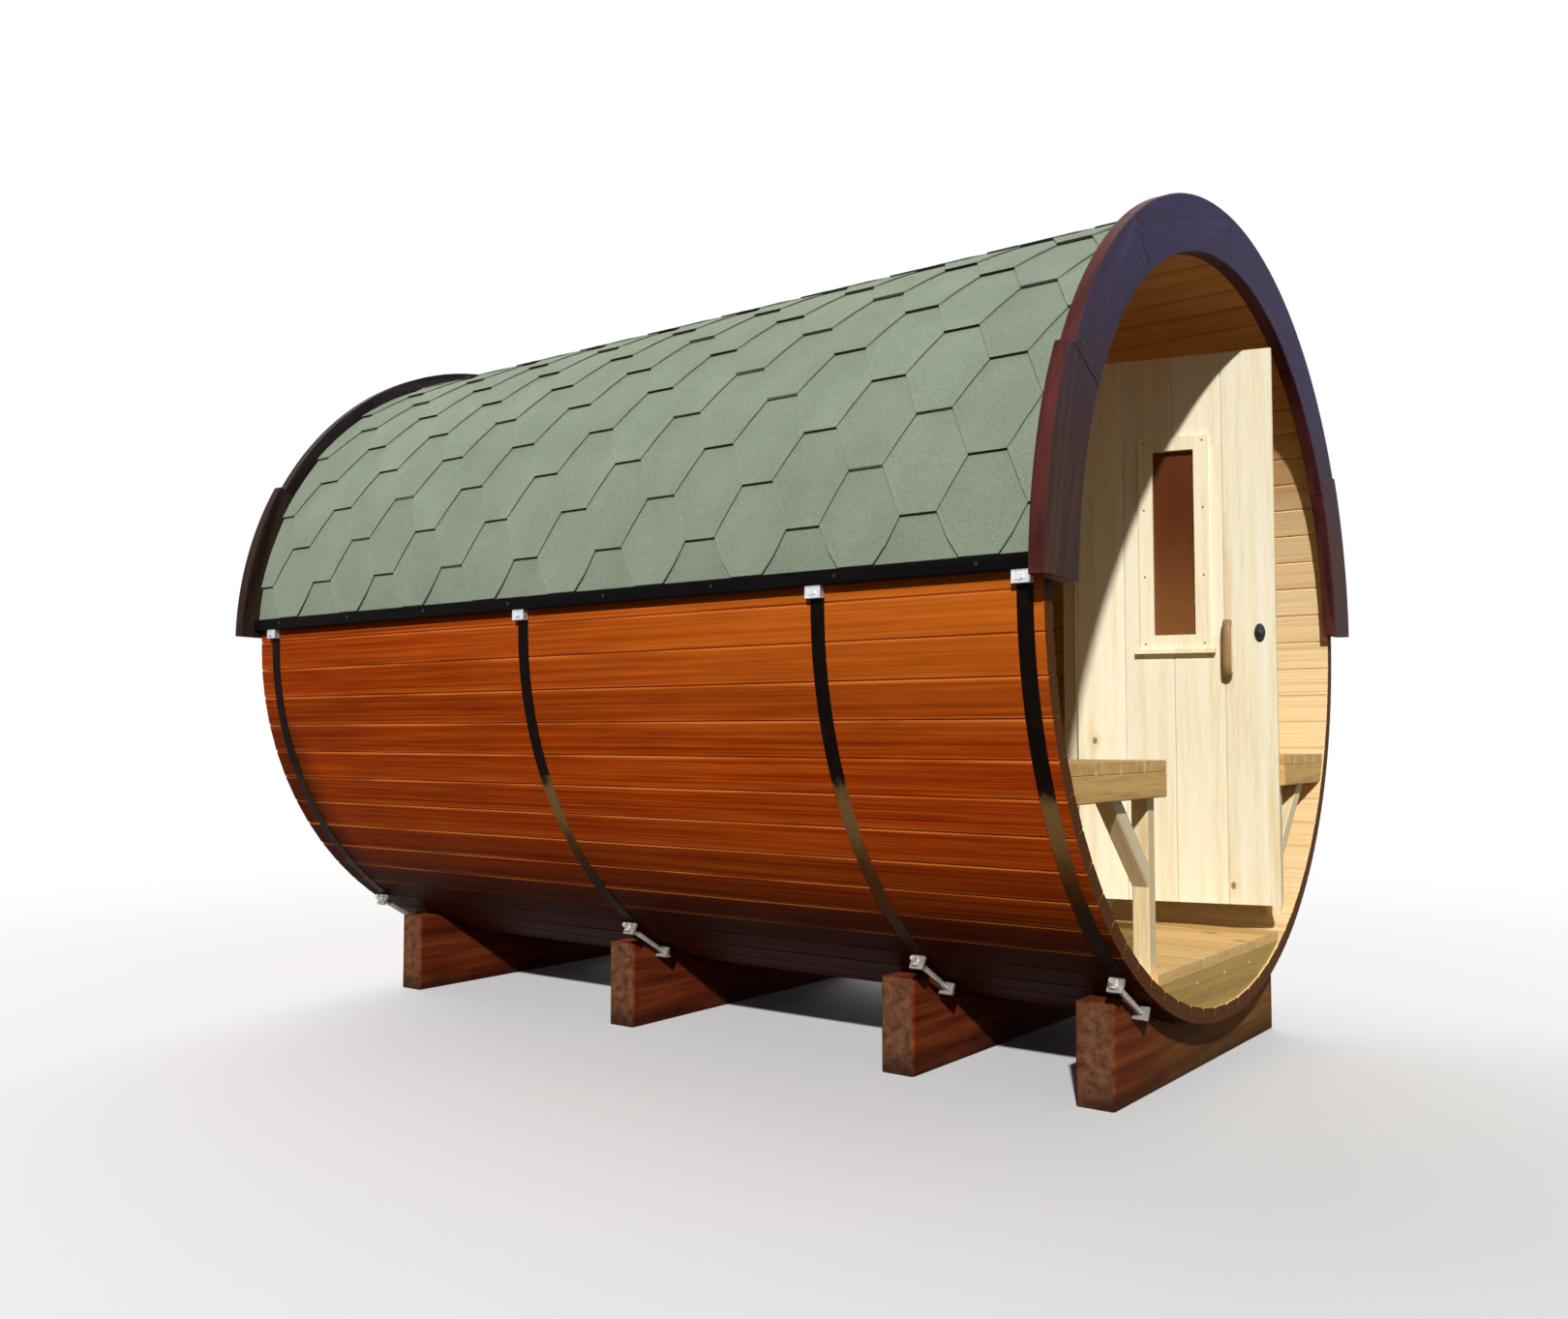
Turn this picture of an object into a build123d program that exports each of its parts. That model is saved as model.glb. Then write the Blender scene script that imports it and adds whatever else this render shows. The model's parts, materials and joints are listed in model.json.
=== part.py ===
from build123d import *
import os
from math import asin, cos, degrees, pi, radians, sin, sqrt

# Barrel sauna: a staved barrel lying on four cradles, with steel hoops, a curved half roof between two
# arches, and an open porch at the front with two benches, an end wall and a hinged door.
# Millimetres. +Z is up, the barrel lies along Y and the porch faces -Y.
# The origin is on the ground under the middle of the barrel.

# Barrel of straight staves
barrel_length = 3000
barrel_radius = 1110
stave_thickness = 42
stave_count = 72
staves_per_section = 9
stave_joint = 0.6
stave_bevel = 4
ground_clearance = 137
seat_gap = 0.3

# Steel hoops, their tensioners and the lugs under the roof's edge
hoop_width = 40
hoop_thickness = 2
hoop_front_inset = 45
hoop_rear_inset = 90
hoop_middle_share = 0.553
tensioner_angle = 59.5
tensioner_length = 170
tensioner_plate = 8
tensioner_plate_height = 38
tensioner_hole_radius = 8.5
tensioner_rod_radius = 8
tensioner_rod_sides = 12
tensioner_nut_radius = 15
tensioner_nut_height = 13
tensioner_thread = 18
lug_height = 30
lug_width = 46
lug_depth = 20
lug_bolt_radius = 9
lug_bolt_head = 8

# Cradles under the barrel
cradle_half_width = 610
cradle_thickness = 105
cradle_height = 262
cradle_hoop_gaps = {"front": 4, "porch": 20, "middle": 4, "rear": 45}

# Curved roof shell and the battens that close its lower edges
roof_thickness = 11
roof_hoop_gap = 0.8
roof_panels_per_side = 4
roof_joint = 0.6
batten_height = 36
batten_depth = 28
batten_rise = 42
batten_round = 4

# Arches that cover the ends of the barrel and the roof
arch_thickness = 40
arch_inner_drop = 53
arch_rim = 58
arch_step = 20
arch_end_rise = 20
arch_joint = 0.8
arch_joint_shares = [0, 0.153, 0.306, 0.5, 0.694, 0.847, 1]

# End walls and floor
wall_thickness = 42
porch_depth = 585
rear_recess = 60
floor_rise = 144
floor_thickness = 28
front_board_thickness = 28
front_board_inset = 6

# Doorway, its lining and its leaf
leaf_width = 606
leaf_thickness = 40
leaf_rise = 85
leaf_head_drop = 193
leaf_gap = 5
lining_width = 45
door_open_angle = 105
window_width = 145
window_height = 603
window_hinge_distance = 235
window_head_drop = 291
window_trim_width = 34
window_trim_thickness = 12
window_bead = 10
window_sill_overhang = 14
glass_thickness = 18
handle_width = 26
handle_height = 185
handle_depth = 24
handle_standoff = 32
handle_foot = 34
handle_free_edge = 142
handle_top_drop = 838
handle_round = 6
latch_radius = 16
latch_sides = 16
latch_depth = 12
latch_free_edge = 48
latch_drop = 883

# Pintle hinges on the outer face of the door
pin_radius = 6
pin_running_gap = 0.3
eye_radius = 10
eye_face_gap = 2
strap_height = 36
strap_length = 320
strap_thickness = 4
strap_inset = 230
strap_tip_width = 18
pintle_boss_height = 22
pintle_plate_width = 44
pintle_plate_height = 90
pintle_plate_thickness = 4
pintle_arm = 16

# Porch benches
bench_seat_rise = 538
bench_seat_thickness = 28
bench_apron_height = 66
bench_apron_thickness = 28
bench_left_edge = 410
bench_door_clearance = 124
bench_slat_gap = 8
bench_slat_count = 4
bench_wall_gap = 1
bench_front_inset = 4
post_width = 45
post_inset = 14
brace_width = 45
brace_run = 230

# Room that a cut runs past the solid it cuts
overrun = 10

# Places worked out from the sizes above
axis_height = ground_clearance + barrel_radius
inner_radius = barrel_radius - stave_thickness
clear_radius = inner_radius * cos(pi / stave_count) - seat_gap
front = -barrel_length / 2
rear = barrel_length / 2
wall_front = front + porch_depth
wall_back = wall_front + wall_thickness
hoop_inner = barrel_radius
hoop_outer = hoop_inner + hoop_thickness
roof_inner = hoop_outer + roof_hoop_gap
roof_outer = roof_inner + roof_thickness
arch_inner = inner_radius - arch_inner_drop
arch_outer = barrel_radius + arch_rim
floor_top = axis_height - inner_radius + floor_rise
leaf_bottom = floor_top + leaf_rise
leaf_top = axis_height + inner_radius - leaf_head_drop
doorway_half = leaf_width / 2 + leaf_gap
lining_half = doorway_half + lining_width
pivot_x = leaf_width / 2 + leaf_gap / 2
pivot_offset = eye_radius + eye_face_gap
pivot_y = wall_front - pivot_offset
pivot_axis = Axis((pivot_x, pivot_y, 0), (0, 0, 1))
hoop_places = {
    "front": front + hoop_front_inset,
    "porch": wall_front + wall_thickness / 2,
    "middle": front + barrel_length * hoop_middle_share,
    "rear": rear - hoop_rear_inset,
}


# Helpers

def across(profile, start, length):
    """Carry a profile drawn in X and Z about the barrel's axis from Y = start along +Y."""
    plane = Plane(origin=(0, start, axis_height), x_dir=(1, 0, 0), z_dir=(0, -1, 0))
    return extrude(plane * profile, amount=length, dir=(0, 1, 0))


def outline(points):
    """A flat face with the given corners."""
    return make_face(Polyline(points, close=True))


def span(low, high):
    """A box between two corners."""
    size = [high[i] - low[i] for i in range(len(low))]
    return Pos(*low) * Box(*size, align=(Align.MIN, Align.MIN, Align.MIN))


def polar(radius, angle):
    """A point about the barrel's axis, its angle in degrees from +X towards +Z."""
    return (radius * cos(radians(angle)), radius * sin(radians(angle)))


def sector(inner, outer, start, stop):
    """A flat piece of a ring between two angles, drawn with true arcs."""
    middle = (start + stop) / 2
    edges = [
        ThreePointArc(polar(inner, start), polar(inner, middle), polar(inner, stop)),
        Line(polar(inner, stop), polar(outer, stop)),
        ThreePointArc(polar(outer, stop), polar(outer, middle), polar(outer, start)),
        Line(polar(outer, start), polar(inner, start)),
    ]
    return make_face(edges)


def inside_barrel(part, start, length):
    """What of a part lies inside the staves, a seat's gap short of their flat backs."""
    return part & across(Circle(clear_radius), start, length)


def gap_angle(gap, radius):
    """The angle in degrees that a gap takes up at a radius."""
    return degrees(gap / radius)


def write(node, *solids):
    """Save one node's solids under its name."""
    shape = solids[0] if len(solids) == 1 else Compound(children=list(solids))
    export_step(shape, os.path.join("parts", node + ".step"))


os.makedirs("parts", exist_ok=True)


# Staves

def stave(angle):
    """One board of the barrel: a flat face outside and inside, slanted edges and small bevels."""
    half_angle = pi / stave_count
    face = barrel_radius * cos(half_angle)
    back = inner_radius * cos(half_angle)
    half_face = barrel_radius * sin(half_angle) - stave_joint / 2
    half_back = inner_radius * sin(half_angle) - stave_joint / 2
    taper = (half_face - half_back) / (face - back)
    corners = [
        (face, half_face - stave_bevel),
        (face - stave_bevel, half_face - stave_bevel * taper),
        (back + stave_bevel, half_back + stave_bevel * taper),
        (back, half_back - stave_bevel),
    ]
    mirrored = [(depth, -side) for depth, side in reversed(corners)]
    return across(Rot(0, 0, angle) * outline(corners + mirrored), front, barrel_length)


section_names = [
    "staves_right_upper", "staves_top_right", "staves_top_left", "staves_left_upper",
    "staves_left_lower", "staves_bottom_left", "staves_bottom_right", "staves_right_lower",
]
stave_pitch = 360 / stave_count
for section, name in enumerate(section_names):
    first = section * staves_per_section
    angles = [(first + i) * stave_pitch + stave_pitch / 2 for i in range(staves_per_section)]
    write(name, *[stave(angle) for angle in angles])


# Hoops: a band in two halves, drawn together below by threaded rods between upturned plates

plate_near = tensioner_length / 2
plate_far = plate_near + tensioner_plate
plate_base = sqrt(hoop_inner ** 2 - plate_near ** 2) + hoop_thickness / 4
rod_distance = hoop_outer + tensioner_plate_height / 2
strip_end = degrees(asin(plate_near / hoop_outer))


def beside_barrel(piece, place, side):
    """Turn a piece drawn at +X, with its length up Z, to a tensioner's place low on one side."""
    angle = -tensioner_angle if side > 0 else tensioner_angle - 180
    return Pos(0, place, axis_height) * Rot(0, -angle, 0) * piece


def hoop(place):
    """One steel band: an upper and a lower strip with a holed plate turned up at each end."""
    start = place - hoop_width / 2
    right = -tensioner_angle
    left = tensioner_angle - 180
    upper = across(sector(hoop_inner, hoop_outer, right + strip_end, left + 360 - strip_end), start, hoop_width)
    lower = across(sector(hoop_inner, hoop_outer, left + strip_end, right - strip_end), start, hoop_width)
    plate = span((plate_base, -hoop_width / 2, plate_near),
                 (hoop_outer + tensioner_plate_height, hoop_width / 2, plate_far))
    hole = extrude(RegularPolygon(tensioner_hole_radius, tensioner_rod_sides), amount=2 * plate_far)
    plate = plate - Pos(rod_distance, 0, 0) * hole
    lower_plate = mirror(plate, Plane.XY)
    upper = upper + beside_barrel(plate, place, 1) + beside_barrel(lower_plate, place, -1)
    lower = lower + beside_barrel(lower_plate, place, 1) + beside_barrel(plate, place, -1)
    return [upper, lower]


def tensioner(place, side):
    """A threaded rod through both plates, with a nut drawn up against each."""
    half_rod = plate_far + tensioner_nut_height + tensioner_thread
    section = RegularPolygon(tensioner_rod_radius, tensioner_rod_sides)
    rod = extrude(section, amount=half_rod, both=True)
    nut = extrude(RegularPolygon(tensioner_nut_radius, 6), amount=tensioner_nut_height)
    for end in (0, 180):
        rod = rod + Rot(end, 0, 0) * Pos(0, 0, plate_far) * nut
    return beside_barrel(Pos(rod_distance, 0, 0) * rod, place, side)


def lug(place, side):
    """A clamp on the band just under the roof's edge, with a bolt head on its face."""
    low = (hoop_outer, place - lug_width / 2, axis_height + batten_rise - lug_height - seat_gap)
    block = span(low, (low[0] + lug_depth, low[1] + lug_width, low[2] + lug_height))
    seat = across(Circle(hoop_outer + seat_gap), place - lug_width, 2 * lug_width)
    head_centre = (low[0] + lug_depth, place, low[2] + lug_height / 2)
    head = Pos(*head_centre) * Rot(0, 90, 0) * extrude(RegularPolygon(lug_bolt_radius, 6), amount=lug_bolt_head)
    piece = block - seat + head
    return piece if side > 0 else mirror(piece, Plane.YZ)


for name, place in hoop_places.items():
    write("hoop_" + name, *hoop(place))
write("hoop_tensioners", *[tensioner(place, side) for place in hoop_places.values() for side in (-1, 1)])
write("hoop_lugs", *[lug(place, side) for place in hoop_places.values() for side in (-1, 1)])


# Cradles

def cradle(start):
    """A block with a flat foot, level shoulders and a hollowed top that the barrel lies in."""
    low = (-cradle_half_width, start, 0)
    block = span(low, (cradle_half_width, start + cradle_thickness, cradle_height))
    bed = Circle(barrel_radius + seat_gap)
    return block - across(bed, start - overrun, cradle_thickness + 2 * overrun)


for name, place in hoop_places.items():
    clear = hoop_width / 2 + cradle_hoop_gaps[name]
    start = place - clear - cradle_thickness if name == "rear" else place + clear
    write("cradle_" + name, cradle(start))


# Roof shell, in curved panels, and the battens under its lower edges

batten_top = batten_rise + batten_height
roof_start = degrees(asin((batten_top + seat_gap) / roof_inner))
roof_sweep = (90 - roof_start) / roof_panels_per_side
roof_trim = gap_angle(roof_joint / 2, roof_outer)


def roof_panel(index):
    """One curved panel of the roof, counted up from the right-hand edge."""
    start = roof_start + index * roof_sweep + roof_trim
    stop = roof_start + (index + 1) * roof_sweep - roof_trim
    return across(sector(roof_inner, roof_outer, start, stop), front, barrel_length)


def batten(side):
    """The rail under one lower edge of the roof, with its outer corners rounded."""
    low = (roof_inner, front, axis_height + batten_rise)
    rail = span(low, (low[0] + batten_depth, rear, low[2] + batten_height))
    outer = rail.faces().sort_by(Axis.X)[-1].edges().filter_by(Axis.Y)
    rail = fillet(outer, batten_round)
    return rail if side > 0 else mirror(rail, Plane.YZ)


panels = [roof_panel(i) for i in range(roof_panels_per_side)]
write("roof_right", *panels)
write("roof_left", *[mirror(panel, Plane.YZ) for panel in panels])
write("roof_edge_right", batten(1))
write("roof_edge_left", batten(-1))


# Arches

def arch(start):
    """A half ring of sawn boards butted end to end. The lowest board on each side stands a step proud."""
    boards = []
    end = degrees(asin(arch_end_rise / arch_outer))
    sweep = 180 - 2 * end
    last = len(arch_joint_shares) - 2
    trim = gap_angle(arch_joint / 2, arch_outer)
    for i in range(last + 1):
        outer = arch_outer + (arch_step if i in (0, last) else 0)
        low = end + sweep * arch_joint_shares[i] + (trim if i else 0)
        high = end + sweep * arch_joint_shares[i + 1] - (trim if i < last else 0)
        board = across(sector(arch_inner, outer, low, high), start, arch_thickness)
        boards.append(board)
    return boards


write("arch_front", *arch(front - arch_thickness - seat_gap))
write("arch_rear", *arch(rear + seat_gap))


# End wall with its doorway, the rear wall and the floor

def wall_piece(low, high):
    """A part of the end wall between two corners in X and height, cut to the round of the staves."""
    block = span((low[0], wall_front, low[1]), (high[0], wall_back, high[1]))
    return inside_barrel(block, wall_front - overrun, wall_thickness + 2 * overrun)


crown = axis_height + barrel_radius
foot = axis_height - barrel_radius
lining_top = leaf_top + leaf_gap + lining_width
lining_bottom = leaf_bottom - leaf_gap - lining_width
write("end_wall_left", wall_piece((-barrel_radius, foot), (-lining_half - seat_gap, crown)))
write("end_wall_right", wall_piece((lining_half + seat_gap, foot), (barrel_radius, crown)))
write("end_wall_over_door", wall_piece((-lining_half, lining_top + seat_gap), (lining_half, crown)))
write("end_wall_sill", wall_piece((-lining_half, foot), (lining_half, lining_bottom - seat_gap)))

head_low = leaf_top + leaf_gap
sill_high = leaf_bottom - leaf_gap
jamb_right = span((doorway_half, wall_front, lining_bottom), (lining_half, wall_back, lining_top))
jamb_left = span((-lining_half, wall_front, lining_bottom), (-doorway_half, wall_back, lining_top))
inner_half = doorway_half - seat_gap
head = span((-inner_half, wall_front, head_low), (inner_half, wall_back, lining_top))
threshold = span((-inner_half, wall_front, lining_bottom), (inner_half, wall_back, sill_high))
write("door_lining", jamb_left, jamb_right, head, threshold)

rear_wall_back = rear - rear_recess
rear_round = RegularPolygon(clear_radius, stave_count, major_radius=False)
write("rear_wall", across(rear_round, rear_wall_back - wall_thickness, wall_thickness))


def floor(start, stop):
    """A level floor cut to the round of the staves at both sides."""
    low = (-inner_radius, start, floor_top - floor_thickness)
    return inside_barrel(span(low, (inner_radius, stop, floor_top)), start, stop - start)


front_board_front = front + front_board_inset
front_board_back = front_board_front + front_board_thickness
write("floor_porch", floor(front_board_front, wall_front - seat_gap))
write("floor_room", floor(wall_back + seat_gap, rear_wall_back - wall_thickness - seat_gap))
board_top = floor_top - floor_thickness - seat_gap
front_board = span((-inner_radius, front_board_front, foot), (inner_radius, front_board_back, board_top))
write("floor_front_board", inside_barrel(front_board, front_board_front, front_board_thickness))


# Door, drawn closed and then swung open about its hinge pins

def opened(part):
    """Swing a part of the door from closed to the angle it stands at."""
    return part.rotate(pivot_axis, door_open_angle)


leaf_right = leaf_width / 2
leaf_left = -leaf_width / 2
leaf_back = wall_front + leaf_thickness
window_right = leaf_right - window_hinge_distance
window_left = window_right - window_width
window_top = leaf_top - window_head_drop
window_bottom = window_top - window_height
leaf = span((leaf_left, wall_front, leaf_bottom), (leaf_right, leaf_back, leaf_top))
window_hole = span((window_left, wall_front - overrun, window_bottom), (window_right, leaf_back + overrun, window_top))
write("door_leaf", opened(leaf - window_hole))

glass_front = wall_front + (leaf_thickness - glass_thickness) / 2
glass_low = (window_left + seat_gap, glass_front, window_bottom + seat_gap)
glass_high = (window_right - seat_gap, glass_front + glass_thickness, window_top - seat_gap)
write("door_glass", opened(span(glass_low, glass_high)))


def window_ring(outer_grow, inner_grow, near, far):
    """A rectangular ring about the window, grown or shrunk from its edges, between two depths."""
    def block(grow, low, high):
        low_corner = (window_left - grow, low, window_bottom - grow)
        return span(low_corner, (window_right + grow, high, window_top + grow))
    return block(outer_grow, near, far) - block(inner_grow, near - overrun, far + overrun)


def window_trim(inside):
    """The moulding on one face of the door, with a bead that holds the glass and a sill below."""
    bead_depth = (leaf_thickness - glass_thickness) / 2 - seat_gap
    face = leaf_back if inside else wall_front
    way = 1 if inside else -1
    near, far = sorted((face, face + way * window_trim_thickness))
    moulding = window_ring(window_trim_width, -window_bead, near, far)
    near, far = sorted((face - way * bead_depth, face))
    bead = window_ring(-seat_gap, -window_bead, near, far)
    sill_reach = window_trim_width + window_sill_overhang
    low_y, high_y = sorted((face, face + way * (window_trim_thickness + window_sill_overhang)))
    sill_top = window_bottom - window_trim_width
    sill_low = (window_left - sill_reach, low_y, sill_top - window_sill_overhang)
    sill = span(sill_low, (window_right + sill_reach, high_y, sill_top))
    return moulding + bead + sill


write("door_window_trim", opened(window_trim(True)), opened(window_trim(False)))

handle_x = leaf_left + handle_free_edge
handle_top = leaf_top - handle_top_drop
grip_back = leaf_back + handle_standoff + handle_depth
handle = span((handle_x - handle_width / 2, leaf_back + handle_standoff, handle_top - handle_height),
              (handle_x + handle_width / 2, grip_back, handle_top))
handle = fillet(handle.edges().filter_by(Axis.Z), handle_round)
for low in (handle_top - handle_height, handle_top - handle_foot):
    handle = handle + span((handle_x - handle_width / 2, leaf_back, low),
                           (handle_x + handle_width / 2, leaf_back + handle_standoff + handle_depth / 2,
                            low + handle_foot))
write("door_handle", opened(handle))

latch_place = (leaf_left + latch_free_edge, leaf_back, leaf_top - latch_drop)
latch = Pos(*latch_place) * Rot(-90, 0, 0) * extrude(RegularPolygon(latch_radius, latch_sides), amount=latch_depth)
write("door_latch", opened(latch))


# Hinges

strap_heights = [leaf_bottom + strap_inset, leaf_top - strap_inset]


def strap(height):
    """A strap hinge: a tapered strap on the door with a round eye for the pin."""
    eye = Pos(pivot_x, pivot_y, height) * Cylinder(eye_radius, strap_height)
    bore = Pos(pivot_x, pivot_y, height) * Cylinder(pin_radius + pin_running_gap, strap_height + overrun)
    tip = pivot_x - strap_length
    shape = outline([(pivot_x, strap_height / 2), (tip, strap_tip_width / 2),
                     (tip, -strap_tip_width / 2), (pivot_x, -strap_height / 2)])
    plane = Plane(origin=(0, wall_front, height), x_dir=(1, 0, 0), z_dir=(0, -1, 0))
    blade = extrude(plane * shape, amount=strap_thickness)
    return opened(eye + blade - bore)


def pintle(height):
    """The fixed half of a hinge: a plate on the jamb with an arm, a boss and an upright pin."""
    boss_top = height - strap_height / 2 - pin_running_gap
    boss_bottom = boss_top - pintle_boss_height
    boss = Pos(pivot_x, pivot_y, boss_top - pintle_boss_height / 2) * Cylinder(eye_radius, pintle_boss_height)
    pin_height = pintle_boss_height + strap_height + pin_radius
    pin = Pos(pivot_x, pivot_y, boss_bottom + pin_height / 2) * Cylinder(pin_radius, pin_height)
    plate_left = pivot_x + eye_radius + eye_face_gap
    arm = span((pivot_x, pivot_y - pintle_arm / 2, boss_bottom),
               (plate_left + pintle_arm, wall_front - pintle_plate_thickness / 2, boss_top))
    plate_low = height - pintle_plate_height / 2
    plate = span((plate_left, wall_front - pintle_plate_thickness, plate_low),
                 (plate_left + pintle_plate_width, wall_front, plate_low + pintle_plate_height))
    return boss + pin + arm + plate


write("door_straps", *[strap(height) for height in strap_heights])
write("hinge_pintles", *[pintle(height) for height in strap_heights])


# Benches along both sides of the porch

bench_top = floor_top + bench_seat_rise
seat_bottom = bench_top - bench_seat_thickness
bench_front = front + bench_front_inset
bench_back = wall_front - bench_wall_gap
open_turn = radians(180 + door_open_angle)
free_edge = leaf_width + leaf_gap / 2
leaf_reach = pivot_x + free_edge * cos(open_turn) - pivot_offset * sin(radians(door_open_angle))
bench_right_edge = leaf_reach + bench_door_clearance


def chord(height):
    """Half the clear width inside the staves at a height."""
    return sqrt(clear_radius ** 2 - (height - axis_height) ** 2)


def bench_seat(edge):
    """Seat slats along the porch, the outermost cut to the round of the staves."""
    reach = chord(seat_bottom)
    pitch = (reach - edge + bench_slat_gap) / bench_slat_count
    slats = []
    for i in range(bench_slat_count):
        low = edge + i * pitch
        slat = span((low, bench_front, seat_bottom), (low + pitch - bench_slat_gap, bench_back, bench_top))
        slats.append(inside_barrel(slat, bench_front, bench_back - bench_front))
    return slats


def bench_support(edge):
    """The apron under the front of a seat, the post at its inner end and a brace from post to apron."""
    apron_top = seat_bottom - seat_gap
    apron_bottom = apron_top - bench_apron_height
    apron_block = span((edge, bench_front, apron_bottom),
                       (inner_radius, bench_front + bench_apron_thickness, apron_top))
    apron = inside_barrel(apron_block, bench_front, bench_apron_thickness)
    post_low = (edge + post_inset, bench_front + bench_apron_thickness + seat_gap, floor_top + seat_gap)
    post = span(post_low, (post_low[0] + post_width, post_low[1] + post_width, apron_top))
    brace_foot = post_low[0] + post_width + seat_gap
    brace_thick = brace_width / cos(radians(45))
    brace_low = apron_top - brace_run - brace_thick
    brace = outline([
        (brace_foot, brace_low - axis_height),
        (brace_foot + brace_run + brace_thick, apron_top - axis_height),
        (brace_foot + brace_run, apron_top - axis_height),
        (brace_foot, brace_low + brace_thick - axis_height),
    ])
    post = inside_barrel(post, post_low[1], post_width)
    brace = inside_barrel(across(brace, post_low[1], post_width), post_low[1], post_width)
    return [apron, post, brace]


for name, edge, flip in (("left", bench_left_edge, True), ("right", bench_right_edge, False)):
    seat = bench_seat(edge)
    support = bench_support(edge)
    if flip:
        seat = [mirror(slat, Plane.YZ) for slat in seat]
        support = [mirror(piece, Plane.YZ) for piece in support]
    write("bench_" + name + "_seat", *seat)
    write("bench_" + name + "_support", *support)
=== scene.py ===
# %% [markdown]
# # A barrel sauna, dressed
# The packed solids already have their real shapes and places, in metres, with the barrel lying along Y.
# This lesson leaves them where they are, gives each one a finish made of nodes, and adds what is too fine
# for the solids: roof shingles, boards with eased edges, threaded rods and screws.
# Everything is worked out from sizes, so no picture is read.

# %% The packed frame
import bmesh
import bpy
import json
import numpy as np
from math import asin, cos, pi, radians, sin
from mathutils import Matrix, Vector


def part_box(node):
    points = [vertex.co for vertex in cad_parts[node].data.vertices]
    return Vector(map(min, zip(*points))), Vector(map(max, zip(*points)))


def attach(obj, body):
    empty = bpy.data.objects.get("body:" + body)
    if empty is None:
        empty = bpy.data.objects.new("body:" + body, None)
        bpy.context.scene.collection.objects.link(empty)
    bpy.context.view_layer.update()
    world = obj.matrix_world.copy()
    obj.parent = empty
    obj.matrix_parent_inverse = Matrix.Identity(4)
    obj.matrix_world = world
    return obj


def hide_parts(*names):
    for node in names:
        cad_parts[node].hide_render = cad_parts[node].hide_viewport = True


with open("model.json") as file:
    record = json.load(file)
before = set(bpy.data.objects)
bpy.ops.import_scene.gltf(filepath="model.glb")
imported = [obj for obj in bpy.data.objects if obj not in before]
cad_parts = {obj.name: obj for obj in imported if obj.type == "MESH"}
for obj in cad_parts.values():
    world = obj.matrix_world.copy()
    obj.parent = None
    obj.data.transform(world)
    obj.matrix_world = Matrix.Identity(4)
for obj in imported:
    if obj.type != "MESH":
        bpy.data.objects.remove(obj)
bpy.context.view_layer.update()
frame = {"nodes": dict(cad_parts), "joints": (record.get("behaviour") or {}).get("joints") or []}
nodes = frame["nodes"]

# %% [markdown]
# ## The barrel's own measures
# A cylinder has one natural set of coordinates: the distance along its axis, the angle round it and the
# radius. Most pieces below are placed in them, so the axis and the radii are named once. So is the small
# gap that keeps one piece of timber off the next.

# %% Measures of the barrel
axis_height = 1.247
barrel_radius, inner_radius = 1.110, 1.068
stave_count = 72
front, rear = -1.5, 1.5
gap, hoop_thick = 0.0003, 0.002
clear_radius = inner_radius * cos(pi / stave_count) - gap
wall_front, wall_back = (float(corner.y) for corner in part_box("end_wall_left"))
chance = np.random.default_rng(7)
print("end wall from", round(wall_front, 4), "to", round(wall_back, 4))

# %% [markdown]
# ## The camera
# The photograph was taken from the front left, a little below the middle of the barrel. Fitting a pinhole
# camera to the rims and roof lines gave its place, its turn and its focal length. The focal length is
# kept as a share of the picture's width, which is how a lens and a sensor give it.

# %% Camera
picture_width, focal_pixels = 1620, 1406.57


def placed(name, data):
    """A new object in the scene, at the origin."""
    thing = bpy.data.objects.new(name, data)
    bpy.context.scene.collection.objects.link(thing)
    return thing


camera = placed("camera", bpy.data.cameras.new("camera"))
camera.location = (-3.807, -2.8257, axis_height - 0.3196)
camera.rotation_euler = (radians(93.146), 0, radians(-52.975))
camera.data.sensor_width = 36
camera.data.lens = camera.data.sensor_width * focal_pixels / picture_width
bpy.context.scene.camera = camera
bpy.context.scene.view_settings.view_transform = "Standard"
print("lens", round(camera.data.lens, 2), "mm")

# %% [markdown]
# ## Finishes as chains of nodes
# Every finish here is wood, steel, glass or roofing, and all of them are built from the same few steps:
# read a place on the piece, stretch it, look up noise there, and turn the noise into colour, roughness
# and bump. Writing each step as a small method keeps a finish readable as a recipe. Colours are written
# as on a paint card, from 0 to 255.

# %% One node at a time
def paint(colour):
    """A paint-card colour turned into the linear light that shaders work in; an output is passed on."""
    if isinstance(colour, bpy.types.NodeSocket):
        return colour
    share = np.array(colour) / 255
    linear = np.where(share <= 0.04045, share / 12.92, ((share + 0.055) / 1.055) ** 2.4)
    return (*linear.tolist(), 1.0)


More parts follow.
